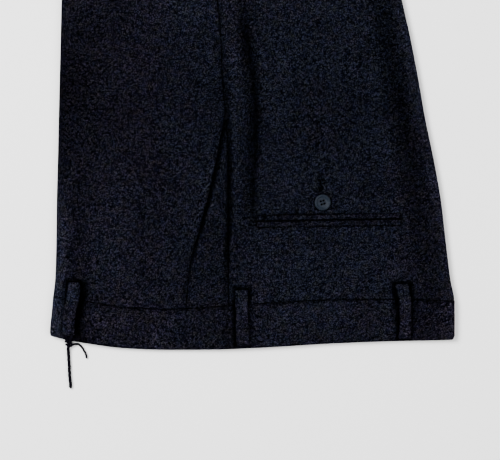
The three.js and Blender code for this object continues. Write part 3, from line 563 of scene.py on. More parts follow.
@dataclass
class Piece:
    """Points and faces of one piece, before it becomes an object."""

    points: Array
    quads: Array
    fans: list[list[int]] = field(default_factory=list)
    # Painted shade at each point, on rims and ends where the cloth turns away.
    dark: Array | float = 0.0

    @staticmethod
    def wall(middle: Array, cloth: Array, rim_shade: float = 0.7) -> Piece:
        """Turns a grid of middle points into a closed wall with softened edges.

        Args:
            middle: Rows of points in plan millimetres.
            cloth: The wall's thickness at each point.
            rim_shade: How much painted shade its edges get, where the cloth turns down into the seams.

        Returns:
            The wall.
        """
        rows, columns = cloth.shape
        normal = np.cross(np.gradient(middle, axis=1), np.gradient(middle, axis=0))
        normal /= np.linalg.norm(normal, axis=2, keepdims=True)
        soft = np.ones(cloth.shape)
        for step, share in ((1, 0.86), (0, 0.5)):
            soft[step, :] = soft[-1 - step, :] = share
            soft[:, step] = np.minimum(soft[:, step], share)
            soft[:, -1 - step] = np.minimum(soft[:, -1 - step], share)
        soft[0, :] = soft[-1, :] = soft[:, 0] = soft[:, -1] = 0.5
        # Painted shade along the rim, where the cloth turns down into the seams.
        dark = np.tile((rim_shade * np.clip((1.0 - soft) / 0.5, 0.0, 1.0) ** 0.7).ravel(), 2)
        half = (cloth * soft)[..., None] * normal / 2.0
        points = np.concatenate([(middle + half).reshape(-1, 3), (middle - half).reshape(-1, 3)])
        face = grid_quads(rows, columns)
        count = rows * columns
        number = np.arange(count).reshape(rows, columns)
        rim = np.concatenate([number[0, :-1], number[:-1, -1], number[-1, :0:-1], number[:0:-1, 0]])
        after = np.roll(rim, -1)
        border = np.stack([rim, rim + count, after + count, after], -1)
        return Piece(points, np.concatenate([face, face[:, ::-1] + count, border]), dark=dark)

    @staticmethod
    def loft(rings: Array, dark: Array | float = 0.0) -> Piece:
        """Joins rings of points into a closed body with flat ends.

        Args:
            rings: Rings of the same number of points in plan millimetres.
            dark: How much painted shade each point gets.

        Returns:
            The body.
        """
        count, around = rings.shape[:2]
        last = (count - 1) * around
        fans = [list(range(around))[::-1], [last + k for k in range(around)]]
        wide = np.broadcast_to(dark, (count, around)).reshape(-1)
        return Piece(rings.reshape(-1, 3), grid_quads(count, around, True), fans, wide)

    def joined(self, other: Piece) -> Piece:
        """Puts two pieces in one.

        Args:
            other: The piece to add.

        Returns:
            Both of them.
        """
        shift = len(self.points)
        fans = self.fans + [[k + shift for k in fan] for fan in other.fans]
        quads = np.concatenate([self.quads, other.quads + shift])
        dark = np.concatenate([self.dark, other.dark])
        return Piece(np.concatenate([self.points, other.points]), quads, fans, dark)

    def outward(self) -> Piece:
        """Turns all faces round if they point inwards.

        Returns:
            The piece with its faces outwards.
        """
        a, b, c, d = (self.points[self.quads[:, k]] for k in range(4))
        volume = np.sum(a * np.cross(b, c)) + np.sum(a * np.cross(c, d))
        if volume >= 0:
            return self
        return Piece(self.points, self.quads[:, ::-1], [fan[::-1] for fan in self.fans], self.dark)

    def make(self, name: str, look: Material, shading: Surface | None = None) -> Thing:
        """Makes the object.

        Args:
            name: The object's name.
            look: Its material.
            shading: How much darker its cloth is painted from place to place: random tone, painted shade and
                painted light.

        Returns:
            The object, in the scene.
        """
        whole = self.outward()
        mesh = bpy.data.meshes.new(name)
        mesh.from_pydata(in_frame(whole.points).tolist(), [], whole.quads.tolist() + whole.fans)
        mesh.shade_smooth()
        mesh.materials.append(look)
        if shading is not None:
            x, at = whole.points[:, 0], whole.points[:, 1]
            # Joins the painted shade of rims and ends to the painted shade and light of the surface.
            dark = 1.0 - (1.0 - shading(x, at)) * (1.0 - np.minimum(whole.dark, 0.97))
            for label, values in (("shading", dark), ("tint", purple_share(x, at))):
                attribute = mesh.attributes.new(label, "FLOAT", "POINT")
                attribute.data.foreach_set("value", np.asarray(values, np.float32))
        made = bpy.data.objects.new(name, mesh)
        bpy.context.scene.collection.objects.link(made)
        return made


def places(start: float, zones: Iterable[tuple[float, float]]) -> Array:
    """Lists places, evenly spaced in each zone.

    Args:
        start: The first place.
        zones: The end of each zone and the spacing in it.

    Returns:
        The rising places.
    """
    listed = [np.array([start])]
    for end, every in zones:
        first = listed[-1][-1]
        count = max(round((end - first) / every), 1)
        listed.append(np.linspace(first, end, count + 1)[1:])
    return np.concatenate(listed)


def dress(piece: Thing, replaced: Iterable[str] = ()) -> Thing:
    """Fixes a piece to the frame.

    Args:
        piece: The finished piece.
        replaced: The CAD nodes that it stands for.

    Returns:
        The same piece.
    """
    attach(piece, "root")
    for node in replaced:
        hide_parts(node)
    LOG.info("%s made", piece.name)
    return piece


@dataclass(frozen=True)
class NodeBuilder:
    """Adds and joins nodes in one node tree."""

    tree: bpy.types.NodeTree

    def add(self, kind: str, inputs: dict | None = None, **settings: object) -> bpy.types.Node:
        """Adds a node.

        Args:
            kind: The node's type.
            inputs: What each input takes, a value or another node's output.
            settings: The node's own settings.

        Returns:
            The node.
        """
        node = self.tree.nodes.new(kind)
        for name, value in settings.items():
            setattr(node, name, value)
        for name, value in (inputs or {}).items():
            if isinstance(value, Socket):
                self.tree.links.new(value, node.inputs[name])
            else:
                node.inputs[name].default_value = value
        return node

    def math(self, operation: str, a: object, b: object) -> Socket:
        """Adds a sum."""
        return self.add("ShaderNodeMath", {0: a, 1: b}, operation=operation).outputs[0]

    def plus(self, a: object, b: object) -> Socket:
        """Adds two values up."""
        return self.math("ADD", a, b)

    def times(self, a: object, b: object) -> Socket:
        """Multiplies two values."""
        return self.math("MULTIPLY", a, b)

    def swing(self, value: Socket, width: float) -> Socket:
        """Spreads a value that wanders round a half so that it wanders round nothing."""
        return self.times(width, self.math("SUBTRACT", value, 0.5))

    def noise(self, place: Socket, **inputs: float) -> bpy.types.Node:
        """Adds a noise texture, with its inputs as words."""
        named = {name.title(): value for name, value in inputs.items()}
        return self.add("ShaderNodeTexNoise", {"Vector": place, **named})

    def parts(self, colour: Socket) -> list[Socket]:
        """Parts a colour into red, green and blue."""
        return list(self.add("ShaderNodeSeparateColor", {"Color": colour}).outputs)

    def colour(self, red: object, green: object, blue: object) -> Socket:
        """Puts a colour together."""
        return self.add("ShaderNodeCombineColor", {"Red": red, "Green": green, "Blue": blue}).outputs[0]

    def link(self, results: dict[str, Socket], node: bpy.types.Node) -> None:
        """Joins results to the inputs of a node."""
        for label, socket in results.items():
            self.tree.links.new(socket, node.inputs[label])

    def ramp(self, value: Socket, *stops: tuple[float, tuple]) -> Socket:
        """Adds a colour ramp.

        Args:
            value: Where it is read.
            stops: The place and colour of each stop.

        Returns:
            The colour's socket.
        """
        node = self.add("ShaderNodeValToRGB", {"Fac": value})
        elements = node.color_ramp.elements
        while len(elements) < len(stops):
            elements.new(0.5)
        for element, (place, colour) in zip(elements, stops):
            element.position = place
            element.color = (*colour, 1.0)
        return node.outputs["Color"]

    def multiplied(self, a: Socket, b: Socket) -> Socket:
        """Multiplies two colours."""
        settings = {"data_type": "RGBA", "blend_type": "MULTIPLY"}
        return self.add("ShaderNodeMix", {0: 1.0, 6: a, 7: b}, **settings).outputs[2]

    def in_millimetres(self) -> Socket:
        """Gives the object's own coordinates in millimetres."""
        place = self.add("ShaderNodeTexCoord").outputs["Object"]
        return self.add("ShaderNodeVectorMath", {0: place, "Scale": 1000.0}, operation="SCALE").outputs[0]


def effect_group(name: str, inputs: dict[str, float]) -> tuple[NodeBuilder, dict, bpy.types.Node]:
    """Starts a shader node group for an effect, which gives a colour, a roughness and a height.

    Args:
        name: The group's name.
        inputs: Its number inputs and their usual values.

    Returns:
        The builder, the input sockets by name and the output node.
    """
    tree = bpy.data.node_groups.new(name, "ShaderNodeTree")
    for label, usual in inputs.items():
        socket = tree.interface.new_socket(label, in_out="INPUT", socket_type="NodeSocketFloat")
        socket.default_value = usual
    for label, kind in (("Color", "Color"), ("Roughness", "Float"), ("Height", "Float")):
        tree.interface.new_socket(label, in_out="OUTPUT", socket_type=f"NodeSocket{kind}")
    build = NodeBuilder(tree)
    given = build.add("NodeGroupInput")
    return build, {label: given.outputs[label] for label in inputs}, build.add("NodeGroupOutput")


@dataclass(frozen=True)
class Melange:
    """Brushed yarn of mixed dark, navy and blue-grey fibres, as a node group."""

    tuft_share: float = 0.54
    fibre_share: float = 0.46
    fleck_jitter: float = 0.15
    purple_wander: float = 1.9
    blue_wander: float = 1.1
    fleck_hue: float = 0.22
    stops: Table = Table(
        ("place", "level", "red", "blue"),
        (
            (0.408, 0.00001, 0.90, 2.50), (0.481, 0.00037, 0.93, 2.50), (0.530, 0.00215, 0.98, 2.12),
            (0.582, 0.00760, 1.02, 1.74), (0.634, 0.02500, 1.05, 1.48),
        ),
    )

    def make(self) -> bpy.types.NodeTree:
        """Makes the group.

        Returns:
            The node group.
        """
        build, given, out = effect_group("Melange wool", {"Darkening": 0.0, "Speckle": 1.0, "Purple": 0.5})
        place = build.in_millimetres()
        tufts = build.noise(place, scale=1.12, detail=2.5, roughness=0.66, distortion=0.15).outputs[0]
        fibres = build.noise(place, scale=2.4, detail=2.0, roughness=0.6, distortion=0.3).outputs[0]
        cells = build.add("ShaderNodeTexVoronoi", {"Vector": place, "Scale": 1.15})
        flecks = build.parts(cells.outputs["Color"])
        mixed = build.plus(build.times(tufts, self.tuft_share), build.times(fibres, self.fibre_share))
        jitter = build.swing(flecks[0], self.fleck_jitter)
        spread = build.plus(mixed, build.times(jitter, given["Speckle"]))
        levels = ((stop, (red * level, level, blue * level)) for stop, level, red, blue in self.stops.rows)
        yarn = build.ramp(spread, *levels)
        patches = build.parts(build.noise(place, scale=0.17, detail=3.0).outputs["Color"])
        tone = build.plus(given["Purple"], build.swing(patches[0], self.purple_wander))
        dye = build.ramp(tone, (0.0, (0.86, 1.0, 1.0)), (1.0, (1.16, 1.0, 1.0)))
        wash = build.swing(patches[1], self.blue_wander)
        blue = build.plus(1.0, build.plus(wash, build.swing(flecks[2], self.fleck_hue)))
        hued = build.multiplied(build.multiplied(yarn, dye), build.colour(1.0, 1.0, blue))
        # The Darkening input carries painted shade and painted light, with random tone, which scale the
        # yarn's colour.
        light = build.math("SUBTRACT", 1.0, given["Darkening"])
        colour = build.multiplied(hued, build.colour(light, light, light))
        roughness = build.plus(0.82, build.times(fibres, 0.2))
        build.link({"Color": colour, "Roughness": roughness, "Height": mixed}, out)
        return build.tree


@dataclass(frozen=True)
class PlainWeave:
    """A fine plain weave, as a node group."""

    threads: float = 2.2

    def make(self) -> bpy.types.NodeTree:
        """Makes the group.

        Returns:
            The node group.
        """
        build, given, out = effect_group("Plain weave", {"Threads": self.threads})
        wave = {"Vector": build.in_millimetres(), "Scale": given["Threads"]}
        threads = (build.add("ShaderNodeTexWave", wave, bands_direction=way) for way in "XY")
        height = build.math("MAXIMUM", *(thread.outputs["Fac"] for thread in threads))
        colour = build.ramp(height, (0.2, (0.006, 0.006, 0.009)), (0.9, (0.022, 0.023, 0.032)))
        roughness = build.math("SUBTRACT", 0.9, build.times(height, 0.15))
        build.link({"Color": colour, "Roughness": roughness, "Height": height}, out)
        return build.tree


@dataclass(frozen=True)
class Shader:
    """A material with its Principled shader, while it is being made."""

    material: Material
    build: NodeBuilder
    node: bpy.types.Node

    @staticmethod
    def start(name: str) -> Shader:
        """Starts a material.

        Args:
            name: The material's name.

        Returns:
            Its shader.
        """
        material = bpy.data.materials.new(name)
        material.use_nodes = True
        node = next(n for n in material.node_tree.nodes if n.type == "BSDF_PRINCIPLED")
        return Shader(material, NodeBuilder(material.node_tree), node)

    def finish(
        self, colour: Socket, roughness: Socket, height: Socket, relief: tuple[float, float], specular: float
    ) -> Material:
        """Joins what a finish works out to the shader.

        Args:
            colour: Its colour.
            roughness: Its roughness.
            height: Its relief.
            relief: How strong and how deep the relief is.
            specular: How strongly the surface reflects.

        Returns:
            The material.
        """
        shape = {"Strength": relief[0], "Distance": relief[1], "Height": height}
        raised = self.build.add("ShaderNodeBump", shape)
        results = {"Base Color": colour, "Roughness": roughness, "Normal": raised.outputs[0]}
        self.build.link(results, self.node)
        self.node.inputs["Specular IOR Level"].default_value = specular
        return self.material


@dataclass(frozen=True)
class WoolFinish:
    """Dark wool flannel with a short nap."""

    name: str = "Wool flannel"
    relief: tuple[float, float] = (0.55, 0.00035)

    def make(self) -> Material:
        """Makes the material.

        Returns:
            The material.
        """
        shader = Shader.start(self.name)
        build = shader.build
        group = build.add("ShaderNodeGroup", node_tree=Melange().make())
        # The shading attribute carries painted shade and painted light into the melange, the tint attribute
        # its purple share.
        painted = {
            label: build.add("ShaderNodeAttribute", attribute_name=attribute).outputs["Fac"]
            for label, attribute in (("Darkening", "shading"), ("Purple", "tint"))
        }
        build.link(painted, group)
        given = group.outputs
        return shader.finish(given["Color"], given["Roughness"], given["Height"], self.relief, 0.0)


@dataclass(frozen=True)
class WovenFinish:
    """A plain woven cotton, for the pocket bags."""

    name: str = "Pocketing cotton"
    relief: tuple[float, float] = (0.4, 0.0002)
    specular: float = 0.5

    def make(self) -> Material:
        """Makes the material.

        Returns:
            The material.
        """
        shader = Shader.start(self.name)
        given = shader.build.add("ShaderNodeGroup", node_tree=PlainWeave().make()).outputs
        return shader.finish(given["Color"], given["Roughness"], given["Height"], self.relief, self.specular)


@dataclass(frozen=True)
class ButtonFinish:
    """Slate blue plastic with faint marbling."""

    name: str = "Button plastic"
    dark: tuple[float, float, float] = (0.0021, 0.0039, 0.0078)
    middle: tuple[float, float, float] = (0.0045, 0.0077, 0.0136)
    light: tuple[float, float, float] = (0.0092, 0.0136, 0.0216)
    roughness: float = 0.42
    relief: tuple[float, float] = (0.15, 0.0001)
    specular: float = 0.1

    def make(self) -> Material:
        """Makes the material.

        Returns:
            The material.
        """
        shader = Shader.start(self.name)
        build = shader.build
        place = build.in_millimetres()
        marble = build.noise(place, scale=0.35, detail=4.0, roughness=0.6, distortion=1.5).outputs[0]
        colour = build.ramp(marble, (0.35, self.dark), (0.55, self.middle), (0.7, self.light))
        worn = build.plus(self.roughness, build.times(marble, 0.2))
        return shader.finish(colour, worn, marble, self.relief, self.specular)


@dataclass(frozen=True)
class ThreadFinish:
    """Fuzzy thread or cord."""

    name: str
    dark: tuple[float, float, float]
    light: tuple[float, float, float]
    scale: float = 1.6
    relief: tuple[float, float] = (0.6, 0.0003)

    def make(self) -> Material:
        """Makes the material.

        Returns:
            The material.
        """
        shader = Shader.start(self.name)
        build = shader.build
        place = build.in_millimetres()
        fuzz = build.noise(place, scale=self.scale, detail=3.0, roughness=0.7, distortion=0.8).outputs[0]
        colour = build.ramp(fuzz, (0.38, self.dark), (0.62, self.light))
        return shader.finish(colour, build.plus(0.7, build.times(fuzz, 0.25)), fuzz, self.relief, 0.0)


@dataclass(frozen=True)
class Looks:
    """All finishes, made once."""

    wool: Material
    pocketing: Material
    button: Material
    thread: Material
    cord: Material

    @staticmethod
    def make() -> Looks:
        """Makes every finish.

        Returns:
            The finishes.
        """
        thread = ThreadFinish("Dark thread", (0.0008, 0.0008, 0.0012), (0.004, 0.004, 0.006))
        cord = ThreadFinish("Dark cord", (0.0004, 0.0004, 0.0008), (0.0035, 0.0030, 0.0055), 1.1)
        finishes = (WoolFinish(), WovenFinish(), ButtonFinish(), thread, cord)
        return Looks(*(finish.make() for finish in finishes))


@dataclass(frozen=True)
class SheetCut:
    """The flat cut of one cloth piece, in metres and square metres."""

    width: float
    length: float
    area: float | None = None
    held: str = "folded"

    def lay(self, body: Piece, node: str, look: Material, shading: Surface, rests_on: str) -> Thing:
        """Makes a piece of cloth that stands for a CAD node.

        Args:
            body: The piece's points and faces.
            node: The CAD node.
            look: The piece's finish.
            shading: How much darker it looks from place to place.
            rests_on: What it lies on; not used.

        Returns:
            The piece.
        """
        made = dress(body.make(f"{node}_cloth", look, shading), [node])
        return made


@dataclass(frozen=True)
class Panel:
    """One front or back panel, folded along its outer edge and turned in between the legs."""

    leg: Leg
    name: str
    cut: SheetCut
    edge: Curve
    fold: Curve
    reach: Curve
    outer: Surface
    inner: Surface
    cloth: Surface
    rests_on: str
    column_step: float = 1.5
    row_zones: Rows = ((45.5, 0.5), (46.6, 1.1), (330, 2.5), (1037, 6.0), (HEM, 1.5))
    rim: tuple[float, ...] = (0.0, 0.5, 1.2, 2.2)
    fold_steps: int = 8
    turned_steps: int = 14

    def middle(self, layers: Layers) -> tuple[Array, Array]:
        """Works out the panel's middle surface.

        Args:
            layers: The garment's layers.

        Returns:
            The grid of points in plan millimetres, and the thickness at each.
        """
        at = places(BAND_SEAM, self.row_zones)[:, None]
        edge, fold = self.edge(at), self.fold(at)
        side = np.sign(edge - fold)
        above, below = self.outer(fold, at), self.inner(fold, at)
        radius = np.abs(above - below) / 2.0
        up = np.sign(above - below)
        start = fold + side * (radius + CLOTH / 2.0)
        width = np.abs(start - edge)
        count = round(float(width.max()) / self.column_step)
        spread = np.linspace(0.0, 1.0, count)[1:][None, :]
        near = np.array(self.rim)[None, :]
        beyond = near[0, -1] + spread * (width - near[0, -1])
        offsets = np.concatenate([np.tile(near, (len(at), 1)), beyond], 1)
        flat_x = edge - side * offsets
        walls = self.cloth(flat_x, at)
        flat_z = self.outer(flat_x, at) + up * (walls - CLOTH) / 2.0
        angle = (np.pi * np.arange(1, self.fold_steps) / self.fold_steps)[None, :]
        round_x = start - side * radius * np.sin(angle)
        round_z = (above + below) / 2.0 + up * radius * np.cos(angle)
        shares = np.linspace(0.0, 1.0, self.turned_steps)[None, :]
        turned_x = start + side * self.reach(at) * shares
        turned_z = self.inner(turned_x, at)
        x = np.concatenate([flat_x, round_x, turned_x], 1)
        z = np.concatenate([flat_z, round_z, turned_z], 1)
        plain = np.full((len(at), round_x.shape[1] + turned_x.shape[1]), CLOTH)
        along = layers.along_panel(x, np.broadcast_to(at, x.shape))
        return np.stack([x, along, z], -1), np.concatenate([walls, plain], 1)

    def build(self, layers: Layers, looks: Looks) -> Thing:
        """Builds and dresses the panel.

        Args:
            layers: The garment's layers.
            looks: The finishes.

        Returns:
            The panel.
        """
        middle, cloth = self.middle(layers)
        node = f"{self.leg.value}_{self.name}_panel"
        shading = layers.shading if self.leg is Leg.RIGHT else layers.plain_shading
        return self.cut.lay(Piece.wall(middle, cloth), node, looks.wool, shading, self.rests_on)


@dataclass(frozen=True)
class Panels:
    """The four panels of the two legs."""

    layers: Layers
    looks: Looks
    mouth_thickness: float = 2.0
    mouth_turn: float = 7.0
    closed_gap: float = -0.3
    front_cut: SheetCut = SheetCut(0.30, 1.0, 0.222)
    back_cut: SheetCut = SheetCut(0.37, 1.0, 0.270)

    def front_edge(self, at: Array, gap: float = SEAM_GAP) -> Array:
        """Finds the front panel's side edge, the pocket's mouth as far as it goes."""
        return np.minimum(self.layers.mouth(at), self.layers.side(at) - gap / 2.0)

    def back_edge(self, at: Array, gap: float = SEAM_GAP) -> Array:
        """Finds the back panel's side edge."""
        return self.layers.side(at) + gap / 2.0

    def front_reach(self, at: Array) -> Array:
        """Says how far the front panel is turned in."""
        full = self.layers.inseam(at) - SEAM_GAP / 2.0 - self.layers.front(at) - CLOTH - 1.0
        return np.where(at >= CROTCH, full, np.minimum(TURNED_IN.curve("front")(at), full))

    def back_reach(self, at: Array) -> Array:
        """Says how far the back panel is turned in."""
        full = self.layers.seat(at) - CLOTH - self.layers.inseam(at) - SEAM_GAP / 2.0 - 1.0
        return np.where(at >= CROTCH, full, np.minimum(TURNED_IN.curve("seat")(at), full))

    def front_cloth(self, x: Array, at: Array) -> Array:
        """Says how thick the front panel is, which is folded double along the pocket's mouth.

        Args:
            x: Places across.
            at: Places along.

        Returns:
            The thickness in millimetres.
        """
        turned = rise(x - self.layers.mouth(at), -self.mouth_turn - 3.0, -self.mouth_turn)
        along = rise(at, 60.0, 120.0) * (1.0 - rise(at, MOUTH_END - 14.0, MOUTH_END + 4.0))
        return mix(CLOTH, self.mouth_thickness, turned * along)

    @staticmethod
    def plain_cloth(x: Array, at: Array) -> Array:
        """Says how thick a plain panel is."""
        return np.full(np.broadcast(x, at).shape, CLOTH)

    def build(self) -> None:
        """Builds the four panels, the lower leg's with fewer points."""
        layers = self.layers
        upper = {"outer": layers.right_outer, "inner": layers.right_inner, "leg": Leg.RIGHT}
        lower = {
            "outer": layers.left_outer,
            "inner": layers.left_inner,
            "leg": Leg.LEFT,
            "cloth": self.plain_cloth,
            "column_step": 5.0,
            "row_zones": ((45.5, 0.5), (46.6, 1.1), (330, 5.0), (1037, 8.0), (HEM, 1.5)),
        }
        front = {"name": "front", "cut": self.front_cut, "fold": layers.front, "reach": self.front_reach}
        back = {"name": "back", "cut": self.back_cut, "fold": layers.seat, "reach": self.back_reach}
        closed_front = partial(self.front_edge, gap=self.closed_gap)
        closed_back = partial(self.back_edge, gap=self.closed_gap)
        upper_front = {"edge": self.front_edge, "cloth": self.front_cloth, "rests_on": "left_front_panel"}
        upper_back = {"edge": self.back_edge, "cloth": self.plain_cloth, "rests_on": "left_back_panel"}
        panels = (
            Panel(**front, **lower, edge=closed_front, rests_on="floor"),
            Panel(**back, **lower, edge=closed_back, rests_on="floor"),
            Panel(**front, **upper, **upper_front),
            Panel(**back, **upper, **upper_back),
        )
        for panel in panels:
            panel.build(layers, self.looks)


@dataclass(frozen=True)
class Pocketing:
    """The side pocket's facing behind its mouth, and the finishes of what lies inside."""

    layers: Layers
    looks: Looks
    underlap: float = 14.0
    clearance: float = 0.45
    columns: int = 26
    cut: SheetCut = SheetCut(0.054, 0.187, 0.0075, "laid")

    def facing_height(self, x: Array, at: Array) -> Array:
        """Finds the middle of the facing, which comes up beyond the mouth.

        Args:
            x: Places across.
            at: Places along.

        Returns:
            Its height in millimetres.
        """
        layers = self.layers
        ceiling = RIGHT_OUTER_Z - CLOTH / 2.0 + layers.upper_air(x, at)
        lying = ceiling - self.clearance - CLOTH / 2.0
        side = layers.side(at)
        mouth = layers.mouth(at)
        reach = mix(2.0, 7.0, rise(at, 60.0, 130.0))
        beyond = rise(x, mouth + 0.4, np.minimum(mouth + reach, np.maximum(side, mouth + 1.5)))
        open_share = beyond * (1.0 - rise(at, MOUTH_END - 45.0, MOUTH_END - 14.0))
        return mix(lying, layers.right_outer(side, at), open_share)

    def build(self) -> None:
        """Builds the facing that shows and dresses the nodes inside."""
        layers = self.layers
        zones = ((45.5, 0.5), (46.6, 1.1), (MOUTH_END + 10.0, 3.0), (MOUTH_END + 12.0, 1.0))
        at = places(BAND_SEAM, zones)[:, None]
        left = layers.mouth(at) - self.underlap
        right = layers.side(at) - SEAM_GAP / 2.0
        inner = np.linspace(0.06, 0.94, self.columns)
        shares = np.concatenate([[0.0, 0.01, 0.03], inner, [0.97, 0.99, 1.0]])
        x = mix(left, right, shares[None, :])
        wide_at = np.broadcast_to(at, x.shape)
        middle = np.stack([x, layers.along_panel(x, wide_at), self.facing_height(x, wide_at)], -1)
        body = Piece.wall(middle, np.full(x.shape, CLOTH))
        self.cut.lay(body, "right_pocket_facing", self.looks.wool, layers.shading, "right_side_pocket_bag")

    def dress_hidden(self, nodes: dict[str, Thing]) -> None:
        """Gives the hidden CAD nodes their finishes.

        Args:
            nodes: The frame's nodes by name.
        """
        finishes = {
            "left_pocket_facing": (self.looks.wool, Slot.WOOL),
            "fly_shield": (self.looks.wool, Slot.WOOL),
            "right_side_pocket_bag": (self.looks.pocketing, Slot.POCKETING),
            "left_side_pocket_bag": (self.looks.pocketing, Slot.POCKETING),
            "back_pocket_bag": (self.looks.pocketing, Slot.POCKETING),
        }
        for name, (look, slot) in finishes.items():
            node = nodes[name]
            node.data.materials.clear()
            node.data.materials.append(look)
            LOG.info("%s dressed", name)


def stadium(
    from_at: Array, to_at: Array, bottom: Array, top: Array, flat: int, turn: int
) -> tuple[Array, Array]:
    """Lists a flattened tube's section, flat above and below with round ends.

    Args:
        from_at: Its near end, one value a ring.
        to_at: Its far end, one value a ring.
        bottom: Its lowest height, one value a ring.
        top: Its highest height, one value a ring.
        flat: How many points each flat side has.
        turn: How many points each round end has.

    Returns:
        The places along and the heights, a row for each ring.
    """
    half = ((top - bottom) / 2.0)[:, None]
    mid = ((top + bottom) / 2.0)[:, None]
    near, far = from_at[:, None] + half, to_at[:, None] - half
    shares = np.linspace(0.0, 1.0, flat)[None, :]
    angle = (np.pi * np.arange(1, turn + 1) / (turn + 1))[None, :]
    out, up, level = half * np.sin(angle), half * np.cos(angle), 0 * shares
    at = [mix(near, far, shares), far + out, mix(far, near, shares), near - out]
    z = [mid + half + level, mid + up, mid - half + level, mid - up]
    return np.concatenate(at, 1), np.concatenate(z, 1)


def stadium_shade(flat: int, turn: int, near: float, far: float) -> Array:
    """Says how much painted shade each point of such a section gets, strongest on its round ends, where the
    cloth turns away.

    Args:
        flat: How many points each flat side has.
        turn: How many points each round end has.
        near: The darkening at the near end.
        far: The darkening at the far end.

    Returns:
        The darkening of each point.
    """
    side = np.zeros(flat)
    side[0], side[-1] = near / 2.0, far / 2.0
    return np.concatenate([side, np.full(turn, far), side[::-1], np.full(turn, near)])


@dataclass(frozen=True)
class Waistband:
    """Half of the waistband, a flattened tube of cloth."""

    leg: Leg
    bottom: float
    thickness: float = 3.0
    lean: float = 3.0
    recess: float = 1.6
    cut: SheetCut = SheetCut(0.373, 0.038)

    def thinning(self, x: Array) -> Array:
        """Says how much thinner the band is at its ends."""
        first, last = BAND.rows[0][0], BAND.rows[-1][0]
        return 0.8 * (2.0 - rise(x, first, first + 2.0) - rise(x, last, last - 2.0))

    def build(self, layers: Layers, looks: Looks, recesses: Iterable[tuple[float, float]]) -> Thing:
        """Builds and dresses the band.

        Args:
            layers: The garment's layers.
            looks: The finishes.
            recesses: Where the lower loops lie in it, from left to right.

        Returns:
            The band.
        """
        first, last = BAND.rows[0][0], BAND.rows[-1][0]
        x = places(first, ((first + 3.0, 0.35), (last - 3.0, 1.3), (last, 0.35)))
        upper = self.leg is Leg.RIGHT
        thin = self.thinning(x)
        lift = layers.band_wave(x) if upper else np.zeros(x.shape)
        bottom = self.bottom + lift + (thin / 2.0 if upper else 0.0)
        top = self.bottom + self.thickness + lift - (thin if upper else thin / 2.0)
        if not upper:
            for left, right in recesses:
                within = (x > left - SEAM_GAP) & (x < right + SEAM_GAP)
                bottom = np.where(within, self.recess, bottom)
        at, z = stadium(layers.band_edge(x), layers.band_seam(x), bottom, top, 14, 5)
        across = np.broadcast_to(x[:, None], at.shape)
        if upper:
            share = (at - layers.band_edge(across)) / (layers.band_seam(across) - layers.band_edge(across))
            puffed = 0.3 * bump(share - 0.5, 0.6) + 0.16 * soft_noise(across, at * 1.5, 13.0, 21)
            ends = rise(across, first, first + 12.0) * rise(last - across, 0.0, 12.0)
            z = np.where(z > (bottom + top)[:, None] / 2.0, z + (puffed - 0.15) * ends, z)
        lean_share = np.maximum(1.0 - (across - first) / 15.0, 0.0)
        leaned = across + self.lean * lean_share * rise(at, 14.0, 50.0)
        node = f"{self.leg.value}_waistband"
        rings = np.stack([leaned, at, z], -1)
        # Painted shade on the band's round edges, strongest along its seam.
        dark = stadium_shade(14, 5, near=0.1, far=0.85)
        shading = layers.shading if upper else layers.plain_shading
        rests_on = "left_waistband" if upper else "floor"
        return self.cut.lay(Piece.loft(rings, dark), node, looks.wool, shading, rests_on)


def loop_shading(x: Array, at: Array) -> Array:
    """Says how much lighter the loops look, which stand up into the light."""
    return -0.22 - 0.1 * (1.0 - rise(x, 90.0, 110.0)) + 0.15 * soft_noise(x, at, 8.0, 41)


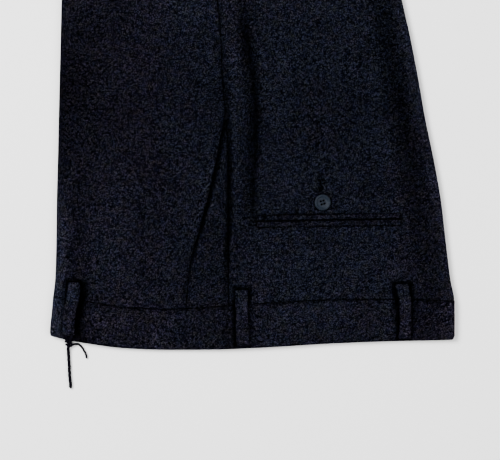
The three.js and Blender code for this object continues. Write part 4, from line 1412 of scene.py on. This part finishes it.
@dataclass(frozen=True)
class BeltLoop:
    """A belt loop of the upper side: two flat feet and a strap that arches between them."""

    name: str
    route: Rows
    shades: Rows
    # fading, close_dark, broad_dark and broad_reach shape the painted shadow round the strap: how much it
    # fades on the strap's right towards the waist edge, how dark it is close by and in a broad halo, and how
    # far that halo reaches.
    fading: float = 0.3
    close_dark: float = 0.92
    broad_dark: float = 0.3
    broad_reach: float = 10.0
    thickness: float = 1.8
    foot: float = 6.0
    under_half: float = 6.2
    under_dark: float = 0.2
    cut: SheetCut = SheetCut(0.0145, 0.056)
    under_cut: SheetCut = SheetCut(0.0125, 0.036)

    @property
    def table(self) -> Table:
        """The strap's route."""
        return Table(("at", "x", "half"), self.route)

    def span(self) -> tuple[float, float]:
        """Finds where the lower side's loop lies."""
        middle = (self.route[0][1] + self.route[-1][1]) / 2.0
        return middle - self.under_half, middle + self.under_half

    def shadow(self, x: Array, at: Array) -> Array:
        """Says how much darker the cloth is beside and under the strap.

        Args:
            x: Places across.
            at: Places along.

        Returns:
            The darkening.
        """
        start, end = self.route[0][0], self.route[-1][0]
        shades = Table(("at", "left", "right"), self.shades)
        aside = x - self.table.curve("x")(at)
        half = self.table.curve("half")(at)
        spread = np.where(aside > 0, shades.curve("right")(at), shades.curve("left")(at))
        out = np.maximum(np.abs(aside) - half + 1.0, 0.0) / (spread + 1.0)
        past = np.maximum(at - end + 0.6, 0.0) / 3.6
        close = 1.0 - rise(np.hypot(out, past), 0.45, 1.5)
        far = np.hypot(np.maximum(np.abs(aside) - half, 0.0), np.maximum(at - end, 0.0))
        below = rise(at, start - 3.0, start)
        fade = 1.0 - self.fading * rise(end - 8.0 - at, 0.0, 12.0) * (aside > 0)
        broad = self.broad_dark * below * (1.0 - rise(far, 0.0, self.broad_reach))
        return 1.0 - (1.0 - self.close_dark * close * below * fade) * (1.0 - broad)

    def carrier_top(self, layers: Layers, x: float, at: float) -> float:
        """Finds the highest point of what a foot stands on.

        Args:
            layers: The garment's layers.
            x: The foot's middle across.
            at: The foot's middle along.

        Returns:
            The height in millimetres.
        """
        across = x + np.linspace(-self.under_half, self.under_half, 9)
        along = np.full(across.shape, at)
        band = Waistbands.upper_bottom + 3.0 + layers.band_wave(across) + 0.3
        panel = layers.right_outer(across, along) + CLOTH / 2.0
        return float(np.max(np.where(along < layers.band_seam(across), band, panel)))

    def build(self, layers: Layers, looks: Looks) -> Thing:
        """Builds and dresses the loop.

        Args:
            layers: The garment's layers.
            looks: The finishes.

        Returns:
            The loop.
        """
        _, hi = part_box(f"right_belt_loop_{self.name}")
        ceiling = hi.z / MM
        start, end = self.route[0][0], self.route[-1][0]
        length = end - start
        band_z = self.carrier_top(layers, self.route[0][1], start + 3.0) + SEAM_GAP
        panel_z = self.carrier_top(layers, self.route[-1][1], end - 3.0) + SEAM_GAP
        crest = ceiling - self.thickness
        first, last = start + self.foot, end - self.foot
        rising = ((start, band_z), (first, band_z + 0.1), (first + 0.1 * length, mix(band_z, crest, 0.62)))
        level = ((first + 0.2 * length, crest - 0.3), (mix(start, end, 0.5), crest))
        level += ((last - 0.2 * length, crest - 0.3),)
        falling = ((last - 0.1 * length, mix(panel_z, crest, 0.62)), (last, panel_z + 0.1), (end, panel_z))
        stops = Table(("at", "z"), rising + level + falling)
        at = places(start, ((start + 1.5, 0.3), (end - 1.5, 1.0), (end, 0.3)))
        z = stops.curve("z")(at)
        middle = self.table.curve("x")(at)
        ends = rise(np.minimum(at - start, end - at), -0.5, 1.5)
        thick = self.thickness * mix(0.45, 1.0, ends)
        half = self.table.curve("half")(at) - 0.35 * (1.0 - ends) + 0.15 * np.sin(at / 6.0)
        across, up = stadium(-half, half, np.zeros(at.shape), thick, 12, 5)
        crown = 0.35 * bump(across / half[:, None], 1.1) * (up > thick[:, None] / 2.0)
        slope = np.gradient(z, at)[:, None]
        lean = -slope * (up - thick[:, None] / 2.0) / np.sqrt(1.0 + slope**2)
        rings = np.stack([middle[:, None] + across, at[:, None] + lean, z[:, None] + up + crown], -1)
        # Painted shade along the strap's round sides and at its ends.
        dark = stadium_shade(12, 5, near=0.6, far=0.5)[None, :] + 0.7 * (1.0 - ends[:, None])
        node = f"right_belt_loop_{self.name}"
        return self.cut.lay(Piece.loft(rings, dark), node, looks.wool, loop_shading, "right_waistband")

    def build_under(self, layers: Layers, looks: Looks) -> Thing:
        """Builds the same loop on the lower side, pressed flat into the band.

        Args:
            layers: The garment's layers.
            looks: The finishes.

        Returns:
            The loop.
        """
        left, right = self.span()
        inset, thick = 1.2, 1.3
        x = places(left, ((left + 1.0, 0.25), (right - 1.0, 1.0), (right, 0.25)))
        thin = 0.35 * (2.0 - rise(x, left, left + 1.0) - rise(right - x, 0.0, 1.0))
        first, last = layers.band_edge(x) + inset, layers.band_seam(x) - inset
        at, z = stadium(first, last, 0.6 * thin, thick - thin, 12, 4)
        rings = np.stack([np.broadcast_to(x[:, None], at.shape), at, z], -1)
        node = f"left_belt_loop_{self.name}"
        body = Piece.loft(rings, self.under_dark)
        return self.under_cut.lay(body, node, looks.wool, layers.plain_shading, "floor")


# Each loop's shades list, along it, how far its painted shadow reaches to the left and to the right.
LOOPS = (
    BeltLoop(
        "front",
        (
            (12.6, 63.1, 5.8), (20.0, 62.8, 6.1), (34.0, 64.4, 6.3), (45.5, 66.8, 6.2), (54.0, 68.0, 6.0),
            (61.8, 68.2, 6.0),
        ),
        shades=((10, 0.0, 7.6), (28, 0.0, 6.6), (36, 0.2, 6.8), (46, 1.4, 7.0), (62, 2.2, 6.0)),
        fading=0.0,
    ),
    BeltLoop(
        "side",
        ((3.0, 223.6, 6.1), (30.0, 222.6, 6.0), (55.0, 222.2, 6.1)),
        shades=((0, 3.6, 0.0), (36, 3.2, 0.2), (44, 2.8, 1.8), (49, 2.2, 3.8), (60, 1.8, 3.8)),
    ),
    BeltLoop(
        "seat",
        (
            (9.4, 372.1, 5.7), (20.0, 372.8, 5.7), (32.0, 372.9, 5.7), (45.0, 372.4, 5.7),
            (54.0, 370.6, 6.0), (60.4, 369.8, 6.5),
        ),
        shades=((8, 2.4, 0.5), (20, 3.2, 0.9), (42, 4.2, 1.8), (51, 4.8, 4.6), (64, 3.8, 4.2)),
    ),
)


@dataclass(frozen=True)
class Waistbands:
    """Both halves of the waistband with their belt loops."""

    layers: Layers
    looks: Looks
    upper_bottom: float = 3.8

    def build(self) -> None:
        """Builds both halves and the loops on them."""
        recesses = [loop.span() for loop in LOOPS]
        Waistband(Leg.LEFT, 0.0).build(self.layers, self.looks, recesses)
        Waistband(Leg.RIGHT, self.upper_bottom).build(self.layers, self.looks, ())
        for loop in LOOPS:
            loop.build(self.layers, self.looks)
            loop.build_under(self.layers, self.looks)


def welt_shading(x: Array, at: Array) -> Array:
    """Says how much darker the welts look, evenly with some random unevenness."""
    return 0.08 + 0.2 * soft_noise(x, at, 9.0, 42)


@dataclass(frozen=True)
class Welts:
    """The back pocket's two welts, each a folded strip on the panel."""

    layers: Layers
    looks: Looks
    left: float = 236.4
    right: float = 369.0
    mouth_start: float = 118.0
    slope: float = 2.2
    upper_width: float = 5.2
    lower_width: float = 5.9
    thickness: float = 1.1

    @classmethod
    def mouth_at(cls, x: Array) -> Array:
        """Finds the mouth between the two welts."""
        return cls.mouth_start + cls.slope * (x - cls.left) / (cls.right - cls.left)

    @classmethod
    def shadow(cls, x: Array, at: Array) -> Array:
        """Says how much darker the panel is under the welts and just round them.

        Args:
            x: Places across.
            at: Places along.

        Returns:
            The darkening.
        """
        aside = at - cls.mouth_at(x)
        below = rise(aside, -cls.lower_width - 1.2, -cls.lower_width)
        along = below * rise(cls.upper_width + 1.6 - aside, 0.0, 1.1)
        ends = rise(x, cls.left - 2.6, cls.left - 0.8) * rise(cls.right + 1.6 - x, 0.0, 1.4)
        return 0.85 * along * ends

    def build(self) -> None:
        """Builds both welts."""
        strips = (
            ("back_pocket_upper_welt", 0.45, self.upper_width),
            ("back_pocket_lower_welt", -self.lower_width, -0.45),
        )
        x = places(self.left, ((self.left + 1.5, 0.3), (self.right - 1.5, 2.0), (self.right, 0.3)))
        mouth = self.mouth_at(x)
        for node, near, far in strips:
            middle = mouth + (near + far) / 2.0
            top = np.max([self.layers.right_outer(x, middle + k) for k in (-3.0, 0.0, 3.0)], 0) + CLOTH / 2.0
            z0 = top + SEAM_GAP * 0.6
            ends = rise(np.minimum(x - self.left, self.right - x), -0.3, 1.5)
            wavy = 0.12 * soft_noise(x, middle, 17.0, 31)
            thick = self.thickness * mix(0.5, 1.0, ends)
            at, z = stadium(mouth + near + wavy, mouth + far + wavy, z0, z0 + thick, 7, 4)
            rings = np.stack([np.broadcast_to(x[:, None], at.shape), at, z], -1)
            # Painted shade on the welts' round edges, for the dark lines between them, and at their ends.
            dark = stadium_shade(7, 4, near=0.9, far=0.9)[None, :] + 0.5 * (1.0 - ends[:, None])
            length = (self.right - self.left) * MM
            cut = SheetCut(length, 0.01, length * (far - near + self.thickness) * MM)
            cut.lay(Piece.loft(rings, dark), node, self.looks.wool, welt_shading, "right_back_panel")


def evaluated_copy(source: Thing, name: str) -> Thing:
    """Turns an object with modifiers into a plain mesh and removes it.

    Args:
        source: The object with modifiers.
        name: The new object's name.

    Returns:
        The plain object.
    """
    bpy.context.view_layer.update()
    seen = source.evaluated_get(bpy.context.evaluated_depsgraph_get())
    mesh = bpy.data.meshes.new_from_object(seen)
    mesh.name = name
    made = bpy.data.objects.new(name, mesh)
    bpy.context.scene.collection.objects.link(made)
    bpy.data.objects.remove(source)
    return made


@dataclass(frozen=True)
class StitchRow:
    """A row of stitches along a path, made by Geometry Nodes."""

    name: str
    path: Rows
    pitch: float
    length: float
    radius: float
    seed: int = 1
    crosswise: bool = False

    def tree(self) -> tuple[bpy.types.NodeTree, dict[str, str]]:
        """Makes the node tree, or finds it if it is made already.

        Returns:
            The tree, and its inputs' identifiers by name.
        """
        label = "Stitch row"
        tree = bpy.data.node_groups.get(label)
        if tree is None:
            tree = bpy.data.node_groups.new(label, "GeometryNodeTree")
            tree.interface.new_socket("Path", in_out="INPUT", socket_type="NodeSocketGeometry")
            for name in ("Pitch", "Length", "Radius", "Turn"):
                tree.interface.new_socket(name, in_out="INPUT", socket_type="NodeSocketFloat")
            tree.interface.new_socket("Seed", in_out="INPUT", socket_type="NodeSocketInt")
            tree.interface.new_socket("Thread", in_out="INPUT", socket_type="NodeSocketMaterial")
            tree.interface.new_socket("Stitches", in_out="OUTPUT", socket_type="NodeSocketGeometry")
            self.fill(NodeBuilder(tree))
        inputs = {s.name: s.identifier for s in tree.interface.items_tree if s.in_out == "INPUT"}
        return tree, inputs

    @staticmethod
    def fill(build: NodeBuilder) -> None:
        """Adds the tree's nodes.

        Args:
            build: The empty tree's builder.
        """
        given = build.add("NodeGroupInput").outputs
        curve = {"Curve": build.add("GeometryNodeMeshToCurve", {"Mesh": given["Path"]}).outputs[0]}
        curve["Length"] = given["Pitch"]
        points = build.add("GeometryNodeCurveToPoints", curve, mode="LENGTH").outputs
        ball = build.add("GeometryNodeMeshUVSphere", {"Segments": 8, "Rings": 6, "Radius": 1.0}).outputs[0]
        half = build.math("MULTIPLY", given["Length"], 0.5)
        size = build.add("ShaderNodeCombineXYZ", {"X": given["Radius"], "Y": given["Radius"], "Z": half})
        stitch = build.add("GeometryNodeTransform", {"Geometry": ball, "Scale": size.outputs[0]})
        tangent = {"Vector": points["Tangent"]}
        aligned = build.add("FunctionNodeAlignRotationToVector", tangent, axis="Z").outputs[0]
        limits = {"Min": (-0.08, -0.08, -0.08), "Max": (0.08, 0.08, 0.08), "Seed": given["Seed"]}
        wobble = build.add("FunctionNodeRandomValue", limits, data_type="FLOAT_VECTOR").outputs[0]
        turn = build.add("ShaderNodeCombineXYZ", {"Z": given["Turn"]}).outputs[0]
        both = build.add("ShaderNodeVectorMath", {0: wobble, 1: turn}, operation="ADD").outputs[0]
        ways = {"Rotation": aligned, "Rotate By": both}
        turned = build.add("FunctionNodeRotateRotation", ways, rotation_space="GLOBAL").outputs[0]
        cast = {"Points": points["Points"], "Instance": stitch.outputs[0], "Rotation": turned}
        placed = build.add("GeometryNodeInstanceOnPoints", cast)
        real = build.add("GeometryNodeRealizeInstances", {"Geometry": placed.outputs[0]})
        smooth = build.add("GeometryNodeSetShadeSmooth", {"Geometry": real.outputs[0]})
        thread = {"Geometry": smooth.outputs[0], "Material": given["Thread"]}
        finished = build.add("GeometryNodeSetMaterial", thread)
        build.add("NodeGroupOutput", {"Stitches": finished.outputs[0]})

    def build(self, looks: Looks) -> Thing:
        """Builds and dresses the row.

        Args:
            looks: The finishes.

        Returns:
            The row as one mesh.
        """
        mesh = bpy.data.meshes.new("path")
        edges = [(k, k + 1) for k in range(len(self.path) - 1)]
        mesh.from_pydata(in_frame(np.array(self.path)).tolist(), edges, [])
        line = bpy.data.objects.new("path", mesh)
        bpy.context.scene.collection.objects.link(line)
        tree, inputs = self.tree()
        modifier = line.modifiers.new("Stitches", "NODES")
        modifier.node_group = tree
        values = {
            "Pitch": self.pitch * MM,
            "Length": self.length * MM,
            "Radius": self.radius * MM,
            "Turn": math.pi / 2.0 if self.crosswise else 0.0,
            "Seed": self.seed,
            "Thread": looks.thread,
        }
        for name, value in values.items():
            modifier[inputs[name]] = value
        made = evaluated_copy(line, self.name)
        return dress(made)


def ring(x: float, at: float, radius: float, z: float, sides: int) -> Array:
    """Lists the points of a flat round ring.

    Args:
        x: Its middle across.
        at: Its middle along.
        radius: Its radius.
        z: Its height.
        sides: How many points it has.

    Returns:
        The points.
    """
    angle = np.linspace(0.0, 2.0 * np.pi, sides, endpoint=False)
    return np.stack([x + radius * np.cos(angle), at + radius * np.sin(angle), np.full(sides, z)], -1)


@dataclass(frozen=True)
class Button:
    """The pocket's button, dished in its middle, with four holes and its thread."""

    layers: Layers
    looks: Looks
    x: float = 296.8
    at: float = 135.2
    radius: float = 7.3
    height: float = 3.0
    hole_radius: float = 0.95
    hole_spacing: float = 2.9
    sides: int = 72
    turned: float = 0.3
    profile: Rows = (
        (0.0, 0.0), (0.4, 0.0), (0.62, 0.0), (0.8, 0.1), (0.92, 0.26), (0.985, 0.45), (1.0, 0.6),
        (0.985, 0.78), (0.94, 0.92), (0.87, 1.0), (0.8, 0.98), (0.74, 0.88), (0.68, 0.74), (0.6, 0.67),
        (0.45, 0.64), (0.2, 0.62), (0.0, 0.62),
    )
    thread_arch: Rows = (
        (0.0, -1.9), (0.02, -0.6), (0.1, 0.12), (0.5, 0.3), (0.9, 0.12), (0.98, -0.6), (1.0, -1.9)
    )

    @classmethod
    def shadow(cls, x: Array, at: Array) -> Array:
        """Says how much darker the panel is under the button and just round it."""
        return 0.85 * rise(cls.radius + 2.0 - np.hypot(x - cls.x, at - cls.at), 0.0, 1.8)

    def holes(self) -> list[tuple[float, float]]:
        """Finds the four holes.

        Returns:
            Their places from the button's middle.
        """
        reach = self.hole_spacing / math.sqrt(2.0)
        angles = [math.pi / 4.0 + self.turned + k * math.pi / 2.0 for k in range(4)]
        return [(reach * math.cos(a), reach * math.sin(a)) for a in angles]

    def build(self) -> None:
        """Builds the button and its thread."""
        lo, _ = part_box("back_pocket_button")
        bottom = lo.z / MM
        rings = [
            ring(self.x, self.at, max(r, 0.002) * self.radius, bottom + z * self.height, self.sides)
            for r, z in self.profile
        ]
        body = Piece.loft(np.array(rings)).make("button_body", self.looks.button)
        cutters = [self.cutter(dx, dy, bottom) for dx, dy in self.holes()]
        for cutter in cutters:
            cut = body.modifiers.new("Hole", "BOOLEAN")
            cut.object = cutter
            cut.operation = "DIFFERENCE"
            cut.solver = "EXACT"
        made = evaluated_copy(body, "pocket_button")
        for cutter in cutters:
            bpy.data.objects.remove(cutter)
        made.data.shade_smooth()
        dress(made, ["back_pocket_button"])
        self.sew(bottom + 0.62 * self.height)

    def cutter(self, dx: float, dy: float, bottom: float) -> Thing:
        """Makes the rod that cuts one hole.

        Args:
            dx: Its place across from the button's middle.
            dy: Its place along from the button's middle.
            bottom: The button's lowest height.

        Returns:
            The rod.
        """
        x, at = self.x + dx, self.at + dy
        heights = (bottom - 2.0, bottom + 0.5 * self.height, bottom + 0.58 * self.height, bottom + 4.0)
        widths = (wide * self.hole_radius for wide in (1.0, 1.0, 1.15, 1.5))
        rings = [ring(x, at, radius, z, 20) for radius, z in zip(widths, heights)]
        return Piece.loft(np.array(rings)).make("Hole", self.looks.button)

    def sew(self, top: float) -> None:
        """Sews the button on with two pairs of threads through its holes.

        Args:
            top: The height of the button's dished middle.
        """
        holes = self.holes()
        piece = None
        for a, b in ((0, 1), (3, 2)):
            for shift in (-0.22, 0.22):
                (ax, ay), (bx, by) = holes[a], holes[b]
                along = Vector((bx - ax, by - ay)).normalized()
                aside = Vector((-along.y, along.x)) * shift
                line = [
                    (self.x + mix(ax, bx, t) + aside.x, self.at + mix(ay, by, t) + aside.y, top + lift)
                    for t, lift in self.thread_arch
                ]
                strand = tube(np.array(line), 0.2, 0.0, 8)
                piece = strand if piece is None else piece.joined(strand)
        made = piece.make("pocket_button_thread", self.looks.thread)
        dress(made)


def smooth_line(points: Array, count: int) -> Array:
    """Draws a smooth line through points.

    Args:
        points: The points in plan millimetres.
        count: How many points the line gets.

    Returns:
        The line's points.
    """
    steps = np.linalg.norm(np.diff(points, axis=0), axis=1) ** 0.5
    knots = np.concatenate([[0.0], np.cumsum(steps)])
    where = np.linspace(0.0, knots[-1], count)
    return np.stack([curve_through(knots, points[:, k])(where) for k in range(3)], -1)


def tube(line: Array, radius: float, twist: float, sides: int = 16, plies: int = 3) -> Piece:
    """Makes a tube along a line, with plies wound round it.

    Args:
        line: The line's points in plan millimetres.
        radius: The tube's radius.
        twist: How deep the plies are, as a share of the radius.
        sides: How many points go round it.
        plies: How many plies it has.

    Returns:
        The tube with closed ends.
    """
    tangents = np.gradient(line, axis=0)
    tangents /= np.linalg.norm(tangents, axis=1, keepdims=True)
    normal = np.cross(tangents, (0.0, 0.0, 1.0))
    normal /= np.maximum(np.linalg.norm(normal, axis=1, keepdims=True), 1e-6)
    other = np.cross(tangents, normal)
    run = np.concatenate([[0.0], np.cumsum(np.linalg.norm(np.diff(line, axis=0), axis=1))])
    angle = np.linspace(0.0, 2.0 * np.pi, sides, endpoint=False)[None, :]
    wound = angle - (2.0 * np.pi * run / (radius * 9.0))[:, None]
    wide = radius * (1.0 - twist * (1.0 - np.abs(np.cos(plies * wound / 2.0))))
    ends = np.minimum(run, run[-1] - run)[:, None]
    wide = wide * np.sqrt(np.clip(ends / radius, 0.12, 1.0))
    rings = line[:, None, :] + wide[..., None] * (
        np.cos(angle)[..., None] * normal[:, None, :] + np.sin(angle)[..., None] * other[:, None, :]
    )
    return Piece.loft(rings)


@dataclass(frozen=True)
class WaistCord:
    """The cord at the front loop, with its knot, its long end and its short end."""

    looks: Looks
    radius: float = 1.6
    tail_radius: float = 1.1
    strand_radius: float = 1.7
    floor: float = 0.1
    long_route: Rows = (
        (62.4, 4.4, 1.2), (62.4, -0.5, 0.6), (62.7, -7.5, 0.1), (63.2, -15.0, 0.0), (63.4, -20.5, 0.0),
        (63.7, -26.0, 0.0), (64.3, -31.0, 0.0), (64.6, -36.4, 0.0),
    )
    tail_route: Rows = (
        (64.4, 2.2, 1.4), (67.0, 4.4, 1.4), (71.0, 4.8, 0.8), (74.6, 2.2, 0.2), (76.8, -1.2, 0.0),
        (78.6, -4.8, 0.0), (79.5, -8.8, 0.0),
    )
    strands: tuple[Rows, ...] = (
        ((61.0, 17.5, 8.0), (60.6, 13.2, 8.2), (60.8, 10.6, 7.2), (61.4, 8.0, 5.0), (62.2, 5.6, 4.0)),
        ((66.6, 17.5, 8.0), (66.2, 13.2, 8.2), (65.4, 10.4, 7.2), (64.3, 7.8, 5.0), (63.3, 5.4, 4.0)),
    )

    def route(self, rows: tuple, radius: float) -> Array:
        """Lifts a route off the floor."""
        return np.array([(x, at, radius + self.floor + lift * radius) for x, at, lift in rows])

    def build(self) -> None:
        line = smooth_line(self.route(self.long_route, self.radius), 90)
        long_end = tube(line, self.radius, 0.16).make("cord_long_end", self.looks.cord)
        dress(long_end, ["waist_cord_long_end"])
        tail_line = smooth_line(self.route(self.tail_route, self.tail_radius), 70)
        tail = tube(tail_line, self.tail_radius, 0.16, 12).make("cord_short_end", self.looks.cord)
        dress(tail, ["waist_cord_short_end"])
        knot = self.knot().make("cord_knot", self.looks.cord)
        dress(knot, ["waist_cord_knot"])
        parts = [smooth_line(np.array(points), 40) for points in self.strands]
        pair = [tube(part, self.strand_radius, 0.16, 12) for part in parts]
        strands = pair[0].joined(pair[1])
        looped = strands.make("cord_strands", self.looks.cord)
        dress(looped)

    def knot(self) -> Piece:
        """Winds the knot as a short coil.

        Returns:
            The knot.
        """
        turns = np.linspace(0.0, 2.0 * np.pi * 2.25, 90)
        share = turns / turns[-1]
        line = np.stack(
            [
                63.2 - 0.8 * share + mix(3.6, 1.7, share) * np.cos(turns),
                mix(8.4, 2.2, share),
                2.7 + 1.3 * np.sin(turns),
            ],
            -1,
        )
        return tube(line, 1.0, 0.16, 12)


@dataclass(frozen=True)
class Stitching:
    """The sewing that shows: tacks at the pockets, dart line and hem marks."""

    layers: Layers
    looks: Looks
    lift: float = 0.12

    def on_panel(self, x: float, at: float, above: float = 0.0) -> tuple[float, float, float]:
        """Puts a point on the layer that shows."""
        z = float(self.layers.right_outer(np.array(x), np.array(at))) + CLOTH / 2.0
        return x, at, z + self.lift + above

    def build(self) -> None:
        """Builds every row."""
        mouth = self.layers.mouth
        along = (211.5, 213.5, 215.5, 217.5)
        tack = tuple(self.on_panel(float(mouth(np.array(a))) + 0.4, a, 0.35) for a in along)
        rows = [StitchRow("side_pocket_tack", tack, 0.42, 2.6, 0.2, 4, crosswise=True)]
        for side, x in (("left", Welts.left), ("right", Welts.right)):
            middle = float(Welts.mouth_at(np.array(x)))
            path = tuple(self.on_panel(x, middle + k, 0.7) for k in np.linspace(-6.5, 4.8, 8))
            rows.append(StitchRow(f"back_pocket_tack_{side}", path, 1.3, 1.15, 0.2, 7))
        shares = np.linspace(0.0, 1.0, 12)
        dart = tuple(self.on_panel(mix(304.8, 306.0, t), mix(47.5, 112.0, t), -0.1) for t in shares)
        rows.append(StitchRow("dart_line", dart, 2.1, 1.9, 0.28, 5))
        hem = tuple(self.on_panel(x, 1006.0, -0.05) for x in np.linspace(84.0, 268.0, 40))
        rows.append(StitchRow("hem_marks", hem, 7.5, 0.9, 0.16, 9))
        for row in rows:
            row.build(self.looks)


@dataclass(frozen=True)
class Studio:
    """A pale floor, soft light from the top left and the camera straight above."""

    centre: tuple[float, float] = (-0.0019, -0.41009)
    distance: float = 2.4
    frame_width: float = 0.46
    key_power: float = 120.0
    fill_power: float = 40.0
    world_light: float = 0.55

    def camera(self) -> None:
        """Makes the camera."""
        data = bpy.data.cameras.new("Camera")
        data.lens = data.sensor_width * self.distance / self.frame_width
        data.clip_start, data.clip_end = 0.01, 50.0
        made = bpy.data.objects.new("Camera", data)
        made.location = (*self.centre, self.distance + 0.008)
        bpy.context.scene.collection.objects.link(made)
        bpy.context.scene.camera = made

    def light(self, name: str, place: tuple[float, float, float], power: float, size: float) -> None:
        """Makes a large soft light that faces the garment.

        Args:
            name: The light's name.
            place: Where it is from the middle of the picture.
            power: Its power in watts.
            size: Its side in metres.
        """
        data = bpy.data.lights.new(name, "AREA")
        data.energy = power
        data.size = size
        made = bpy.data.objects.new(name, data)
        target = Vector((*self.centre, 0.0))
        made.location = target + Vector(place)
        made.rotation_mode = "QUATERNION"
        made.rotation_quaternion = Vector(place).to_track_quat("Z", "Y")
        bpy.context.scene.collection.objects.link(made)

    def build(self) -> None:
        """Makes the floor, the lights and the surrounding light."""
        mesh = bpy.data.meshes.new("Floor")
        corners = [(-4, -4, -0.0004), (4, -4, -0.0004), (4, 4, -0.0004), (-4, 4, -0.0004)]
        mesh.from_pydata(corners, [], [(0, 1, 2, 3)])
        paper = Shader.start("Pale floor")
        paper.node.inputs["Base Color"].default_value = (0.97, 0.97, 0.97, 1.0)
        paper.node.inputs["Roughness"].default_value = 0.9
        mesh.materials.append(paper.material)
        floor = bpy.data.objects.new("Floor", mesh)
        bpy.context.scene.collection.objects.link(floor)
        world = bpy.data.worlds.new("Studio")
        world.use_nodes = True
        sky = world.node_tree.nodes["Background"]
        sky.inputs["Color"].default_value = (1.0, 1.0, 1.0, 1.0)
        sky.inputs["Strength"].default_value = self.world_light
        bpy.context.scene.world = world
        self.light("Key", (-1.1, 0.6, 1.8), self.key_power, 1.1)
        self.light("Fill", (1.1, -0.3, 1.9), self.fill_power, 1.4)


def main() -> None:
    """Builds the trousers' looks in order."""
    logging.basicConfig(level=logging.INFO, format="%(name)s: %(message)s")
    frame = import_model()
    studio = Studio()
    studio.camera()
    looks = Looks.make()
    layers = Layers()
    WaistCord(looks).build()
    LOG.info("camera and cord made")
    Panels(layers, looks).build()
    LOG.info("panels made")
    pocketing = Pocketing(layers, looks)
    pocketing.build()
    pocketing.dress_hidden(frame["nodes"])
    Waistbands(layers, looks).build()
    LOG.info("waistband and loops made")
    Welts(layers, looks).build()
    Button(layers, looks).build()
    Stitching(layers, looks).build()
    LOG.info("pocket, button and stitches made")
    studio.build()


if __name__ == "__main__":
    main()
